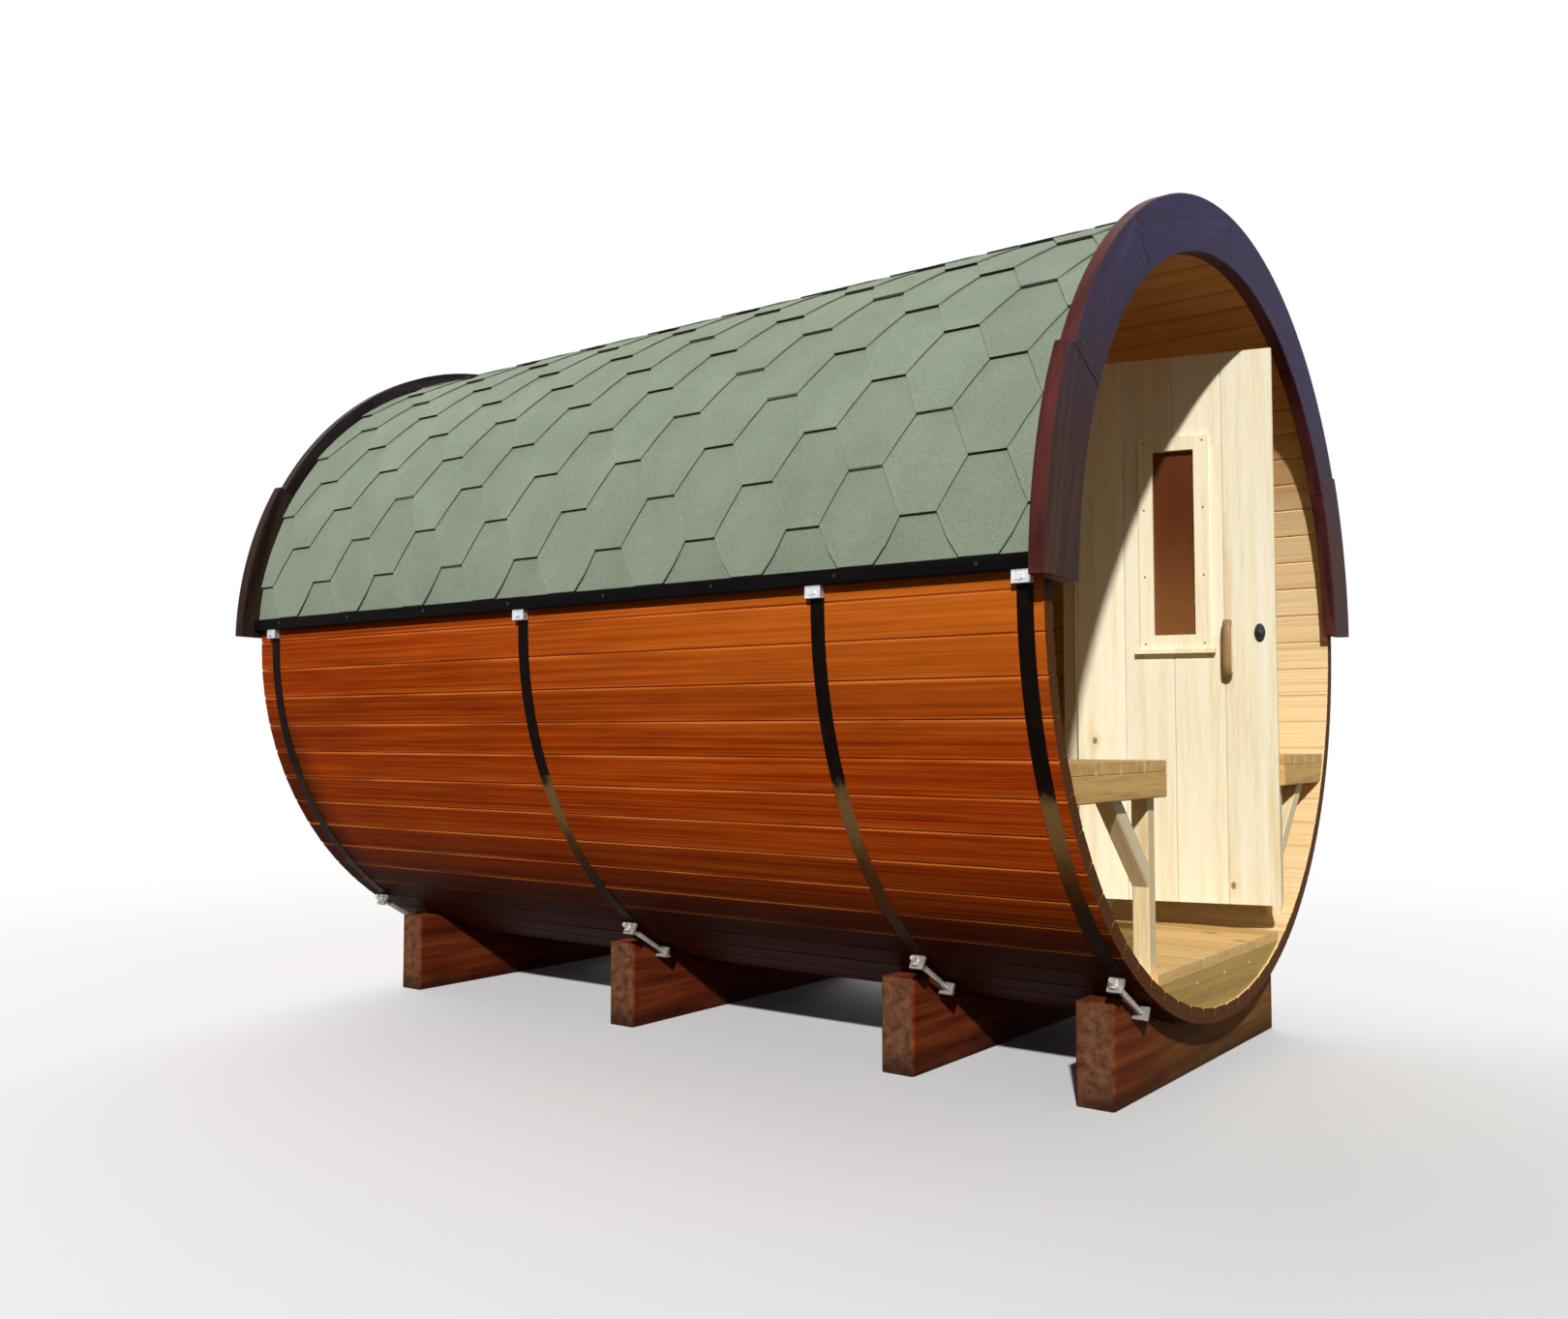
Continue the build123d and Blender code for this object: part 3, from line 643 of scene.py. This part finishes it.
def roof_sheet(radius, angle, y, flipped, numbers):
    """Point = (r cos a, y, axis + r sin a), mapped in metres by y and by the arc."""
    radius, angle, y = np.broadcast_arrays(radius, angle, y)
    points = np.stack([radius * np.cos(angle), y, axis_height + radius * np.sin(angle)], -1)
    faces = grid_faces(*angle.shape)
    if flipped:
        faces = faces[:, ::-1]
    maps = np.stack([y, roof_base * angle], -1).reshape(-1, 2)[faces.ravel()]
    return points.reshape(-1, 3), faces.tolist(), maps, np.broadcast_to(numbers, len(faces)).tolist()


def tab_edge(phase, jitter):
    """Where the lower edge bends along y, and how far up the slope: 0 on a lip, one lay in a notch."""
    numbers = np.arange(-2, 12)
    low, high = lip / 2, tab / 2 - lip / 2
    places = (front + phase + numbers * tab)[:, None] + np.array([-high, -low, low, high])
    rises = np.tile([lay, 0, 0, lay], (len(numbers), 1))
    rises[:, 1:3] += jitter[: len(numbers), None]
    return places.ravel(), rises.ravel()


def course(side, number):
    """a = (arc + s)/R, s from the lower edge to the strip's top; r = base + two sheets at the lower edge,
    falling to the base two lays further up, and a slight curl at the edge."""
    arc = first_arc + lay * number
    phase = first_phase + (tab / 2 if number % 2 else 0)
    places, rises = tab_edge(phase, chance.uniform(-lip_jitter, lip_jitter, 20))
    inside = places[(places > front + 4 * end_gap) & (places < rear - 4 * end_gap)]
    ends = [front + end_gap, rear - end_gap]
    y = np.sort(np.concatenate([inside, (inside[1:] + inside[:-1]) / 2, ends]))
    low = np.maximum(np.interp(y, places, rises), eave - arc)
    v = np.linspace(0, 1, 6)[:, None]
    s = low + v * np.maximum(min(strip, ridge - arc) - low, least_run)
    radius = roof_base + sheet * np.clip(2 - s / lay, 0, 2) + curl * (1 - v) ** 3
    angle = (arc + s) / roof_base
    middle = (y[1:] + y[:-1]) / 2
    tab_number = np.floor((middle - front - phase) / tab + 0.5) + 40 * number + (0 if side > 0 else 1000)
    return roof_sheet(radius, angle if side > 0 else pi - angle, y, side > 0, np.tile(tab_number, len(v) - 1))


def starter(side):
    """A plain strip along the eave under the first tabs: r = base, straight lower edge."""
    y = np.linspace(front + end_gap, rear - end_gap, 24)
    angle = np.linspace(eave, eave + starter_depth, 5)[:, None] / roof_base
    return roof_sheet(roof_base, angle if side > 0 else pi - angle, y, side > 0, float(side))


print("courses a side:", course_count, "tab", tab, "lay", lay)

# %% [markdown]
# ## The shingles' finish
# Mineral granules, grey-green, pressed into bitumen. From a few metres they read as a fine speckle over
# slow patches, with each tab a little lighter or darker than the next. The cut edge is bare bitumen, and
# so is the felt under the strips.

# %% Shingle finish
def shingle_finish():
    """Colour = ramp(fine noise + patches), times a shade drawn by tab number."""
    f = new_finish("roof_shingle")
    luck = f.chance(f.attribute("board"))
    grit, patches = f.noise(f.place(), 520.0, 3.0, 0.7), f.noise(f.place(), 5.5)
    mixed = f.blend(0.86, grit, patches)
    colour = f.ramp(mixed, (94, 104, 88), (137, 148, 128), (168, 177, 157), at=(0.32, 0.5, 0.68))
    colour = f.shaded(colour, f.math("MULTIPLY_ADD", luck, 0.07, 0.965))
    return f.surface(Base_Color=colour, Roughness=0.93, Specular_IOR_Level=0.2,
                     Normal=f.bump(grit, 0.0009, 0.8))


def bitumen_finish():
    """Near-black, matt, mottled by noise."""
    f = new_finish("bitumen")
    mottle = f.noise(f.place(), 60.0, 4.0)
    return f.surface(Base_Color=f.ramp(mottle, (26, 28, 25), (56, 60, 52)), Roughness=0.85,
                     Specular_IOR_Level=0.2, Normal=f.bump(mottle, 0.0006, 0.5))


def cut_edge_finish():
    """Black bitumen on the lips; on the slanted cuts, which point along y, granules cling and hide it."""
    f = new_finish("shingle_cut_edge")
    grit = f.noise(f.place(), 400.0, 3.0, 0.7)
    black = f.ramp(grit, (24, 26, 23), (48, 52, 45))
    grey = f.ramp(grit, (108, 117, 101), (140, 150, 131))
    return f.surface(Base_Color=f.mix(f.facing(1, 0.4, 0.8), black, grey), Roughness=0.9,
                     Specular_IOR_Level=0.2)


roof_shingle, cut_edge = shingle_finish(), cut_edge_finish()


def roofing_piece(name, parts):
    """Open sheets in one piece, given their thickness by a modifier, with a black cut edge."""
    piece = mesh_piece(name, parts, roof_shingle, "barrel", closed=False)
    piece.data.materials.append(cut_edge)
    thick = piece.modifiers.new("sheet", "SOLIDIFY")
    thick.thickness, thick.offset, thick.material_offset_rim = sheet, 1.0, 1


dress(bitumen_finish(), "roof_left", "roof_right")
for side, name in ((-1, "shingles_left"), (1, "shingles_right")):
    roofing_piece(name, [starter(side)] + [course(side, i) for i in range(course_count)])

# %% [markdown]
# ## Ridge caps
# Where the two sides meet, short caps are bent over the ridge one after another, each lapping the last.
# A cap is a small curved sheet: an arc across the ridge by a straight run along it, tilted so that its
# nose lies on the cap before.

# %% Ridge caps
cap_lay, cap_length, cap_half_angle = 0.145, 0.215, 0.145


def ridge_cap(number):
    """A sheet about the ridge, its radius rising from the tail to the nose by one sheet and a half."""
    nose = np.linspace(0, 1, 5)[:, None]
    y = np.clip(rear - end_gap - cap_lay * number - cap_length * nose, front + end_gap, rear)
    angle = pi / 2 - np.linspace(-cap_half_angle, cap_half_angle, 9)
    return roof_sheet(roof_base + sheet * (1.6 + 1.6 * nose), angle, y, True, 3000.0 + number)


roofing_piece("ridge_caps", [ridge_cap(i) for i in range(int((rear - front) / cap_lay))])

# %% [markdown]
# ## Boarded walls, floors and door
# The end wall, the rear wall, the floors and the door are all made of boards with eased edges, which show
# as thin dark lines. Each board is one outline, an oblong with its corners cut, carried along the board.
# For the walls the ends follow the barrel's round, so the outline's two ends are cut to the circle.

# %% Boards of the walls
hair, wall_ease, widest_share = 0.00001, 0.004, 0.9995


def board_outline(low, high, near, far, ease=0.003, steps=2):
    """A board's section: an oblong with each corner cut off by the same ease, its long sides in steps."""
    wide, deep = np.linspace(low + ease, high - ease, steps), np.array([near + ease, far - ease])
    across = np.concatenate([wide, [high, high], wide[::-1], [low, low]])
    through = np.concatenate([np.full(steps, near), deep, np.full(steps, far), deep[::-1]])
    return np.column_stack([across, through])


def upright_board(low, high, near, far, bottom, top, number):
    """A board from bottom to top, each given as a height or, where None, cut to the barrel's round."""
    outline = board_outline(low + hair, high - hair, near, far, wall_ease, steps=12)
    x = np.clip(outline[:, 0], -clear_radius, clear_radius)
    round_half = np.sqrt(np.maximum(clear_radius ** 2 - x ** 2, 0))
    ground = axis_height - round_half if bottom is None else bottom + 0 * x
    head = axis_height + round_half if top is None else top + 0 * x
    return swept([np.column_stack([outline, ground]), np.column_stack([outline, head])], number)


def wall_boards(edges, near, far, bottom=None, top=None, first=0):
    """Boards between neighbouring edges, only a hair apart so that no light comes through."""
    return [upright_board(a, b, near, far, bottom, top, first + i)
            for i, (a, b) in enumerate(zip(edges[:-1], edges[1:]))]


lining_low, lining_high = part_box("door_lining")
half, limit = lining_high.x + gap, clear_radius * widest_share
outer_edges, door_edges = np.linspace(half, limit, 7), np.linspace(-half, half, 8)
parts = wall_boards(outer_edges, wall_front, wall_back)
parts += wall_boards(-outer_edges[::-1], wall_front, wall_back, first=20)
parts += wall_boards(door_edges, wall_front, wall_back, bottom=lining_high.z + gap, first=40)
parts += wall_boards(door_edges, wall_front, wall_back, top=lining_low.z - gap, first=60)
mesh_piece("end_wall_boards", parts, pine_boards, "barrel",
           ("end_wall_left", "end_wall_right", "end_wall_over_door", "end_wall_sill"))

low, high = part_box("rear_wall")
parts = wall_boards(np.linspace(-limit, limit, 19), low.y, high.y, first=80)
mesh_piece("rear_wall_boards", parts, rear_boards, "barrel", ("rear_wall",))

# %% Boards of the floors
floor_gap, floor_count = 0.001, 9


def floor_parts(node, first):
    """Boards along y: each outline lies across, in x and z, and runs the floor's length."""
    low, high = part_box(node)
    reach = np.sqrt(clear_radius ** 2 - (axis_height - low.z) ** 2)
    edges = np.linspace(-reach, reach, floor_count + 1)
    parts = []
    for i, (a, b) in enumerate(zip(edges[:-1], edges[1:])):
        x, z = board_outline(a + floor_gap, b - floor_gap, low.z, high.z).T
        parts.append(swept([np.column_stack([x, y + 0 * x, z]) for y in (low.y, high.y)], first + i))
    return parts


for room, first in (("porch", 120), ("room", 140)):
    node = "floor_" + room
    parts = floor_parts(node, first)
    mesh_piece(room + "_floor_boards", parts, floor_boards, "barrel", (node,))

# %% [markdown]
# ## Arch boards and cradles with eased edges
# Sawn timber never keeps a knife edge: the corners are planed off, and that narrow slope catches the light
# and tells the eye how thick a board is. Both pieces are outlines carried along a path. An arch board is an
# eased oblong turned about the barrel's axis. A cradle is its own front outline, a block with a hollowed top,
# carried through four places along Y, drawn in by the ease at the first and the last.

# %% Arch boards
foot_board_step, arch_end_turn, arch_end_ease, arch_rows = 0.020, 0.002, 0.0025, 16


def arch_board(y_low, y_high, number):
    """Point(a, corner) = (r cos a, y, axis + r sin a) for an eased section in r and y."""
    outer = arch_outer + (foot_board_step if number in (0, arch_count - 1) else 0)
    low, high = arch_joints[number] * pi + hair, arch_joints[number + 1] * pi - hair
    inner_turns = np.linspace(low + arch_end_turn, high - arch_end_turn, arch_rows - 2)
    angle = np.concatenate([[low], inner_turns, [high]])[:, None]
    r, y = board_outline(arch_inner, outer, y_low, y_high).T
    ease = np.isin(np.arange(arch_rows), (0, arch_rows - 1))[:, None] * arch_end_ease
    r = r + ease * np.sign((arch_inner + outer) / 2 - r)
    y = y + ease * np.sign((y_low + y_high) / 2 - y)
    rows = np.broadcast_arrays(r * np.cos(angle), y, axis_height + r * np.sin(angle))
    return swept(np.stack(rows, -1), number)


for node in ("arch_front", "arch_rear"):
    low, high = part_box(node)
    parts = [arch_board(low.y, high.y, i) for i in range(arch_count)]
    mesh_piece(node + "_boards", parts, dark_arch_wood, "barrel", (node,), crease=30)

# %% Cradle blocks
cradle_ease = 0.006


def cradle_block(node, number):
    """Outline in x and z: foot, right shoulder, the bed as an arc about the barrel's axis, left shoulder."""
    low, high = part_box(node)
    ease = np.array([cradle_ease, 0, 0, cradle_ease])[:, None]
    place = np.array([low.y, low.y + cradle_ease, high.y - cradle_ease, high.y])[:, None]
    half, top, bed = high.x - ease, high.z - ease, barrel_radius + gap + ease
    turn = np.arcsin(np.sqrt(bed ** 2 - (axis_height - top) ** 2) / bed) * np.linspace(1, -1, 41)
    x = np.hstack([-half, half, half, bed * np.sin(turn), -half])
    z = np.hstack([ease * 0.5, ease * 0.5, top, axis_height - bed * np.cos(turn), top])
    return swept(np.stack([x, place + 0 * x, z], -1), number)


for i, node in enumerate(cradles):
    mesh_piece(node + "_block", [cradle_block(node, 300 + i)], cradle_wood, "barrel", (node,))

# %% [markdown]
# ## Bench supports
# Under each seat stand an apron, a post and a slanting brace. Each is an eased board with its grain along it.
# The apron's outer end follows the round of the staves, and the brace is cut upright at the post and level
# under the seat, so the brace's two end outlines are the same width measured in two directions.

# %% Apron, post and brace
apron_thick, apron_tall, post_inset, post_side = 0.028, 0.066, 0.014, 0.045
brace_width, brace_run = 0.0636, 0.230
apron_number, post_number, brace_number = 180, 181, 182


def bench_support(node, side):
    """Three boards in x away from the aisle, then mirrored to their side."""
    low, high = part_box(node)
    edge, top = min(abs(low.x), abs(high.x)), high.z
    behind = low.y + apron_thick + gap
    deep = behind + post_side
    y, z = board_outline(low.y, low.y + apron_thick, top - apron_tall, top).T
    reach = np.sqrt(clear_radius ** 2 - (z - axis_height) ** 2)
    apron = [np.column_stack([edge + 0 * z, y, z]), np.column_stack([reach, y, z])]
    x, y = board_outline(edge + post_inset, edge + post_inset + post_side, behind, deep).T
    post = [np.column_stack([x, y, low.z + 0 * x]), np.column_stack([x, y, top + 0 * x])]
    foot = edge + post_inset + post_side + gap
    s, y = board_outline(0, brace_width, behind, deep).T
    brace = [np.column_stack([foot + 0 * s, y, top - brace_run - brace_width + s]),
             np.column_stack([foot + brace_run + brace_width - s, y, top + 0 * s])]
    boards = ((apron_number, apron), (post_number, post), (brace_number, brace))
    return [swept(np.array(rows) * (side, 1, 1), number) for number, rows in boards]


for name, side in (("left", -1), ("right", 1)):
    node = "bench_" + name + "_support"
    boards = bench_support(node, side)
    mesh = mesh_piece(node + "_boards", boards, post_wood_painted_sun, "barrel", (node,)).data
    mesh.materials.append(apron_wood)
    numbers = np.zeros(len(mesh.polygons), np.float32)
    mesh.attributes["board"].data.foreach_get("value", numbers)
    mesh.polygons.foreach_set("material_index", (numbers == apron_number).astype(np.int32))

# %% [markdown]
# ## The door's boards
# The leaf is four wide boards with a window cut through the middle two. It is worked out closed, where
# its faces are square to the axes, and then turned about the hinge pin to the angle it stands at,
# so the numbers stay simple. Boards beside the window are cut short above and below it.

# %% Door boards
pin = np.array(frame["joints"][0]["pos_m"][:2])
open_angle = radians(105)
leaf_half, leaf_deep = 0.303, 0.040
leaf_bottom, leaf_top = (float(corner.z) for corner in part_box("door_leaf"))
pane_left, pane_right, pane_top = -0.077, 0.068, leaf_top - 0.291
pane_bottom = pane_top - 0.603


def opened(points):
    """Turn points of the closed door about the pin, seen from above, by the angle it stands open."""
    c, s = cos(open_angle), sin(open_angle)
    flat = points[:, :2] - pin
    return np.column_stack([flat @ np.array([[c, s], [-s, c]]) + pin, points[:, 2]])


def leaf_board(low, high, bottom, top, number):
    """One upright board of the closed leaf, turned open."""
    outline = board_outline(low + gap, high - gap, wall_front, wall_front + leaf_deep)
    ends = bottom + hair, top - hair
    return swept([opened(np.column_stack([outline, np.full(len(outline), z)])) for z in ends], number)


seams = np.linspace(-leaf_half, leaf_half, 5)
parts = []
for i, (a, b) in enumerate(zip(seams[:-1], seams[1:])):
    cuts = [(a, b, leaf_bottom, leaf_top)]
    if b > pane_left and a < pane_right:
        cuts = [(a, b, leaf_bottom, pane_bottom), (a, b, pane_top, leaf_top)]
        beside = (a, pane_left) if a < pane_left else (pane_right, b)
        cuts.append((*beside, pane_bottom, pane_top))
    parts += [leaf_board(*cut, 160 + i) for cut in cuts]
mesh_piece("door_boards", parts, pine_boards, "door", ("door_leaf",))

# %% [markdown]
# ## Handle and catch
# The handle is a bent bar of oiled wood. Its middle line is a squarish half ring, a superellipse with a power
# of 5, standing off the leaf, and its section is a rounded oblong held square to that line. The catch is a
# turned button on an upright oval rose: one radius after another along a short axis, those of the rose
# divided by the length of (cos, 0.56 sin). Both are made closed and turned open.

# %% Handle and catch
leaf_back = wall_front + leaf_deep
handle_x, handle_z = -leaf_half + 0.142, leaf_top - 0.9305
catch_x, catch_z = -leaf_half + 0.048, leaf_top - 0.883


def squarish(angle, power, wide, tall):
    """(wide cos, tall sin) of an angle, with cos and sin raised to 2/power and keeping their signs."""
    c, s = np.cos(angle), np.sin(angle)
    return wide * (np.sign(c) * np.abs(c) ** (2 / power)), tall * (np.sign(s) * np.abs(s) ** (2 / power))


def handle_bar():
    """Row t lies at (depth, z) = (44, 79) mm times a power-5 half ring; the section is 26 by 24 mm."""
    out, up = squarish(np.linspace(-pi / 2, pi / 2, 61), 5, 0.0440, 0.0790)
    steps = np.gradient(np.column_stack([out, up]), axis=0)
    steps /= np.linalg.norm(steps, axis=1)[:, None]
    wide, deep = squarish(np.linspace(0, 2 * pi, 28, endpoint=False), 3.2, 0.0128, 0.0118)
    depth = out[:, None] + steps[:, 1:] * deep
    height = up[:, None] - steps[:, :1] * deep
    points = np.stack(np.broadcast_arrays(handle_x + wide, leaf_back + depth, handle_z + height), -1)
    return swept(opened(points.reshape(-1, 3)).reshape(points.shape), 190)


def turned(lengths, radii, sides, number):
    """Point(length, angle) = (r cos, r sin, length); a point on the axis closes each end with a fan."""
    lengths = np.asarray(lengths)
    around = np.linspace(0, 2 * pi, sides, endpoint=False)
    radius, angle, length = np.broadcast_arrays(radii, around, lengths[:, None])
    rings = np.stack([radius * np.cos(angle), radius * np.sin(angle), length], -1).reshape(-1, 3)
    tips = np.column_stack([np.zeros((2, 2)), lengths[[0, -1]]])
    here = np.arange(sides)
    after, top, tip = (here + 1) % sides, len(rings) - sides, len(rings) + 0 * here
    first_fan = np.column_stack([after, here, tip])
    last_fan = np.column_stack([top + here, top + after, tip + 1])
    faces = grid_faces(len(lengths), sides, closed=True).tolist() + first_fan.tolist() + last_fan.tolist()
    maps = np.vstack([np.column_stack([angle.ravel(), length.ravel()]), tips[:, 1:]])
    return np.vstack([rings, tips]), faces, maps[np.concatenate(faces)], [number] * len(faces)


def catch_button():
    """The oval rose, then the round button, turned on the leaf's back and opened."""
    lengths = [0, 0.0025, 0.004, 0.0042, 0.0046, 0.0095, 0.0113, 0.012]
    radii = np.c_[[0.016, 0.016, 0.0148, 0.0135, 0.0105, 0.0098, 0.0088, 0.006]]
    squeeze = np.c_[[0.56] * 4 + [1.0] * 4]
    angle = np.linspace(0, 2 * pi, 40, endpoint=False)
    points, *rest = turned(lengths, radii / np.hypot(np.cos(angle), squeeze * np.sin(angle)), 40, 191)
    x, z, out = points.T
    return opened(np.column_stack([catch_x + x, leaf_back + out, catch_z + z])), *rest


mesh_piece("door_handle_bar", [handle_bar()], handle_wood, "door", ("door_handle",),
           crease=180)
mesh_piece("door_catch", [catch_button()], hinge_steel, "door", ("door_latch",), crease=40)

# %% [markdown]
# ## Threaded rods and nuts
# Each hoop is drawn tight by a rod on either side. A rod is a turned shape, a radius that changes along a
# line, and a nut is the same with its radius cut flat six times. Both are written as a radius over a
# length and an angle, laid beside the barrel, and joined into one piece.

# %% Rods and nuts
rod_distance, rod_low_angle = barrel_radius + hoop_thick + 0.019, 59.5
rod_half, rod_radius, rod_tip, rod_taper = 0.124, 0.008, 0.006, 0.003
plate_far, nut_height, nut_half_width = 0.093, 0.013, 0.013
hoop_middles = [float(sum(corner.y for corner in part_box(hoop)) / 2) for hoop in hoops]


def beside_barrel(points, hoop_y, side):
    """Lay a shape that stands on the z axis along the barrel's tangent, low on one side of a hoop."""
    a = radians(-rod_low_angle if side > 0 else rod_low_angle - 180)
    out, along = rod_distance + points[:, 0], points[:, 2]
    return np.column_stack([out * cos(a) - along * sin(a), hoop_y + points[:, 1],
                            axis_height + out * sin(a) + along * cos(a)])


def nut(base, way):
    """A hexagon with rounded corners top and bottom: r = least of the flats' distance and a bevel circle."""
    angle = np.linspace(0, 2 * pi, 36, endpoint=False)
    flats = nut_half_width / np.cos((angle + pi / 6) % (pi / 3) - pi / 6)
    bevel = np.c_[[0.0128, 0.0155, 0.0155, 0.0128]]
    return turned(base + way * nut_height * np.array([0, 0.16, 0.84, 1]), np.minimum(flats, bevel), 36, 200)


rod = turned([-rod_half, rod_taper - rod_half, rod_half - rod_taper, rod_half],
             np.c_[[rod_tip, rod_radius, rod_radius, rod_tip]], 20, 200)
parts = [(beside_barrel(points, hoop_y, side), *rest) for hoop_y in hoop_middles for side in (-1, 1)
         for points, *rest in (rod, nut(plate_far, 1), nut(-plate_far, -1))]
mesh_piece("tension_rods", parts, rod_steel, "barrel", ("hoop_tensioners",), crease=35)

# %% [markdown]
# ## Screws
# A screw head is a turned dome with a small hole for the driver. One head is worked out once and copied to
# every place, standing along the direction the board faces there. Those on the door are opened with it.
# Hinges, arches and roof edges have large black heads, window trims small ones, seats and the step dull zinc.

# %% Screw heads
large, middling, seat_size, small = 0.0055, 0.005, 0.0042, 0.003
forwards, backwards, upwards = (0, -1, 0), (0, 1, 0), (0, 0, 1)


def screw_heads(places, outward, size):
    """Copies of one turned head: place + r cos (side) + r sin (up) + height (outward)."""
    points, faces, maps, numbers = turned(np.array([0, 0.1, 0.3, 0.36, 0.36, 0.12]) * size,
                                          np.c_[[1, 1, 0.8, 0.55, 0.4, 0.34]] * size, 14, 400)
    outward = np.array(outward, float)
    side = np.cross(outward, (0, 0, 1.0)) if abs(outward[2]) < 0.9 else np.array([1.0, 0, 0])
    basis = np.stack([side, np.cross(outward, side), outward])
    return [(points @ basis + place, faces, maps, numbers) for place in places]


def lattice(*axes):
    """Every combination of the given x, y and z values, as rows of points."""
    return np.stack(np.meshgrid(*axes, indexing="ij"), -1).reshape(-1, 3)


strap_heights, strap_face = np.array([leaf_bottom + 0.230, leaf_top - 0.230]), wall_front - 0.004
strap_x = pin[0] - np.array([0.07, 0.17, 0.27])
trim_middle, trim_thick = 0.017, 0.012
trim_x = np.array([pane_left - trim_middle, pane_right + trim_middle])
trim_z = np.linspace(pane_bottom - trim_middle, pane_top + trim_middle, 4)
parts = screw_heads(lattice(strap_x, [strap_face], strap_heights), forwards, large)
parts += screw_heads(lattice(trim_x, [wall_front - trim_thick], trim_z), forwards, small)
parts += screw_heads(lattice(trim_x, [leaf_back + trim_thick], trim_z), backwards, small)
parts = [(opened(points), *rest) for points, *rest in parts]
mesh_piece("door_screws", parts, hinge_steel, "door")

# %% Black screws of the barrel
bolt_turn, bolt_inset, batten_end = 0.026, 0.034, 0.15
pintle_out, pintle_half = 0.044, 0.034
pintle_plates = (strap_heights[:, None] + np.array([-pintle_half, pintle_half])).ravel()
parts = screw_heads(lattice([pin[0] + pintle_out], [strap_face], pintle_plates), forwards, large)
bolt_angles = (arch_joints[:, None] * pi + np.array([-bolt_turn, bolt_turn])).ravel()[1:-1]
r, a, y = lattice([arch_inner + bolt_inset, arch_outer - bolt_inset], bolt_angles, [0.0]).T
ring = np.column_stack([r * np.cos(a), y, axis_height + r * np.sin(a)])
parts += screw_heads(ring + (0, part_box("arch_front")[0].y, 0), forwards, large)
parts += screw_heads(ring + (0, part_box("arch_rear")[1].y, 0), backwards, large)
low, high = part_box("roof_edge_right")
batten_y = np.linspace(front + batten_end, rear - batten_end, 8)
batten = lattice([high.x], batten_y, [(low.z + high.z) / 2])
parts += screw_heads(batten, (1, 0, 0), middling) + screw_heads(batten * (-1, 1, 1), (-1, 0, 0), middling)
mesh_piece("black_screws", parts, hinge_steel, "barrel")

# %% Zinc screws of the seats and the step
slat_count, seat_front, seat_back = 4, 0.018, 0.03
step_half, step_drop = 0.42, 0.03
parts = []
for node in ("bench_left_seat", "bench_right_seat"):
    low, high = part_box(node)
    inner, outer = sorted((low.x, high.x), key=abs)
    slats = inner + (outer - inner) * (np.arange(slat_count) + 0.5) / slat_count
    rows = [low.y + seat_front, high.y - seat_back]
    parts += screw_heads(lattice(slats, rows, [high.z]), upwards, seat_size)
low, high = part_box("floor_front_board")
step_places = lattice(np.linspace(-step_half, step_half, 5), [low.y], [high.z - step_drop])
parts += screw_heads(step_places, forwards, seat_size)
mesh_piece("bright_screws", parts, rod_steel, "barrel")

# %% [markdown]
# ## Light, floor and background
# A low sun from the front left, as in the photograph, throws the arch's shadow across the open door, and
# an even sky fills the shade. A weak, wide lamp from behind keeps the far side from going black. The floor
# is pale and keeps the shadow; far out it fades to white, as the background does, so no horizon shows.

# %% Sun, sky and floor
def sun_lamp(name, strength, spread, height, turn):
    """A sun lamp of a given spread, its height above the horizon and its turn about z, all in degrees."""
    lamp = placed(name, bpy.data.lights.new(name, "SUN"))
    lamp.data.energy, lamp.data.angle = strength, radians(spread)
    lamp.rotation_euler = (radians(90 - height), 0, radians(turn))
    print(name, "at", height, "degrees")


def studio_sky(world):
    """White as seen, in mirrors and through glass; 0.18 of that as light on the object."""
    f = Finish(world)
    inputs = {"Color": (1, 1, 1, 1), "Strength": f.step(f.seen(), 0.0, 1.0, 0.18, 1.0)}
    f.add("ShaderNodeOutputWorld", {0: f.add("ShaderNodeBackground", inputs).outputs[0]})
    return world


def studio_floor():
    """A pale matt floor; its share of plain white grows with the distance from the middle."""
    f = new_finish("studio_floor")
    x, y, _ = f.split(f.place())
    matt = f.add("ShaderNodeBsdfDiffuse", {0: (0.92, 0.92, 0.92, 1.0)}).outputs[0]
    dim = f.add("ShaderNodeBsdfDiffuse", {0: (0.07, 0.07, 0.07, 1.0)}).outputs[0]
    white = f.add("ShaderNodeEmission", {0: (1.0, 1.0, 1.0, 1.0)}).outputs[0]
    seen = f.seen()
    pale = f.add("ShaderNodeMixShader", {0: seen, 1: dim, 2: matt}).outputs[0]
    far = f.times(f.step(f.length(x, y), 2.4, 6.0), seen)
    both = f.add("ShaderNodeMixShader", {0: far, 1: pale, 2: white}).outputs[0]
    f.add("ShaderNodeOutputMaterial", {0: both})
    return f.owner


sun_lamp("sun", 3.3, 1.6, 31, -62.3)
sun_lamp("fill", 2.0, 80, 25, 145)
bpy.context.scene.world = studio_sky(bpy.data.worlds.new("studio"))
floor_half = 60
floor_mesh = bpy.data.meshes.new("studio_floor")
corners = floor_half * np.array([(-1, -1, 0), (1, -1, 0), (1, 1, 0), (-1, 1, 0)])
floor_mesh.from_pydata(corners.tolist(), [], [(0, 1, 2, 3)])
floor_mesh.materials.append(studio_floor())
floor = placed("studio_floor", floor_mesh)
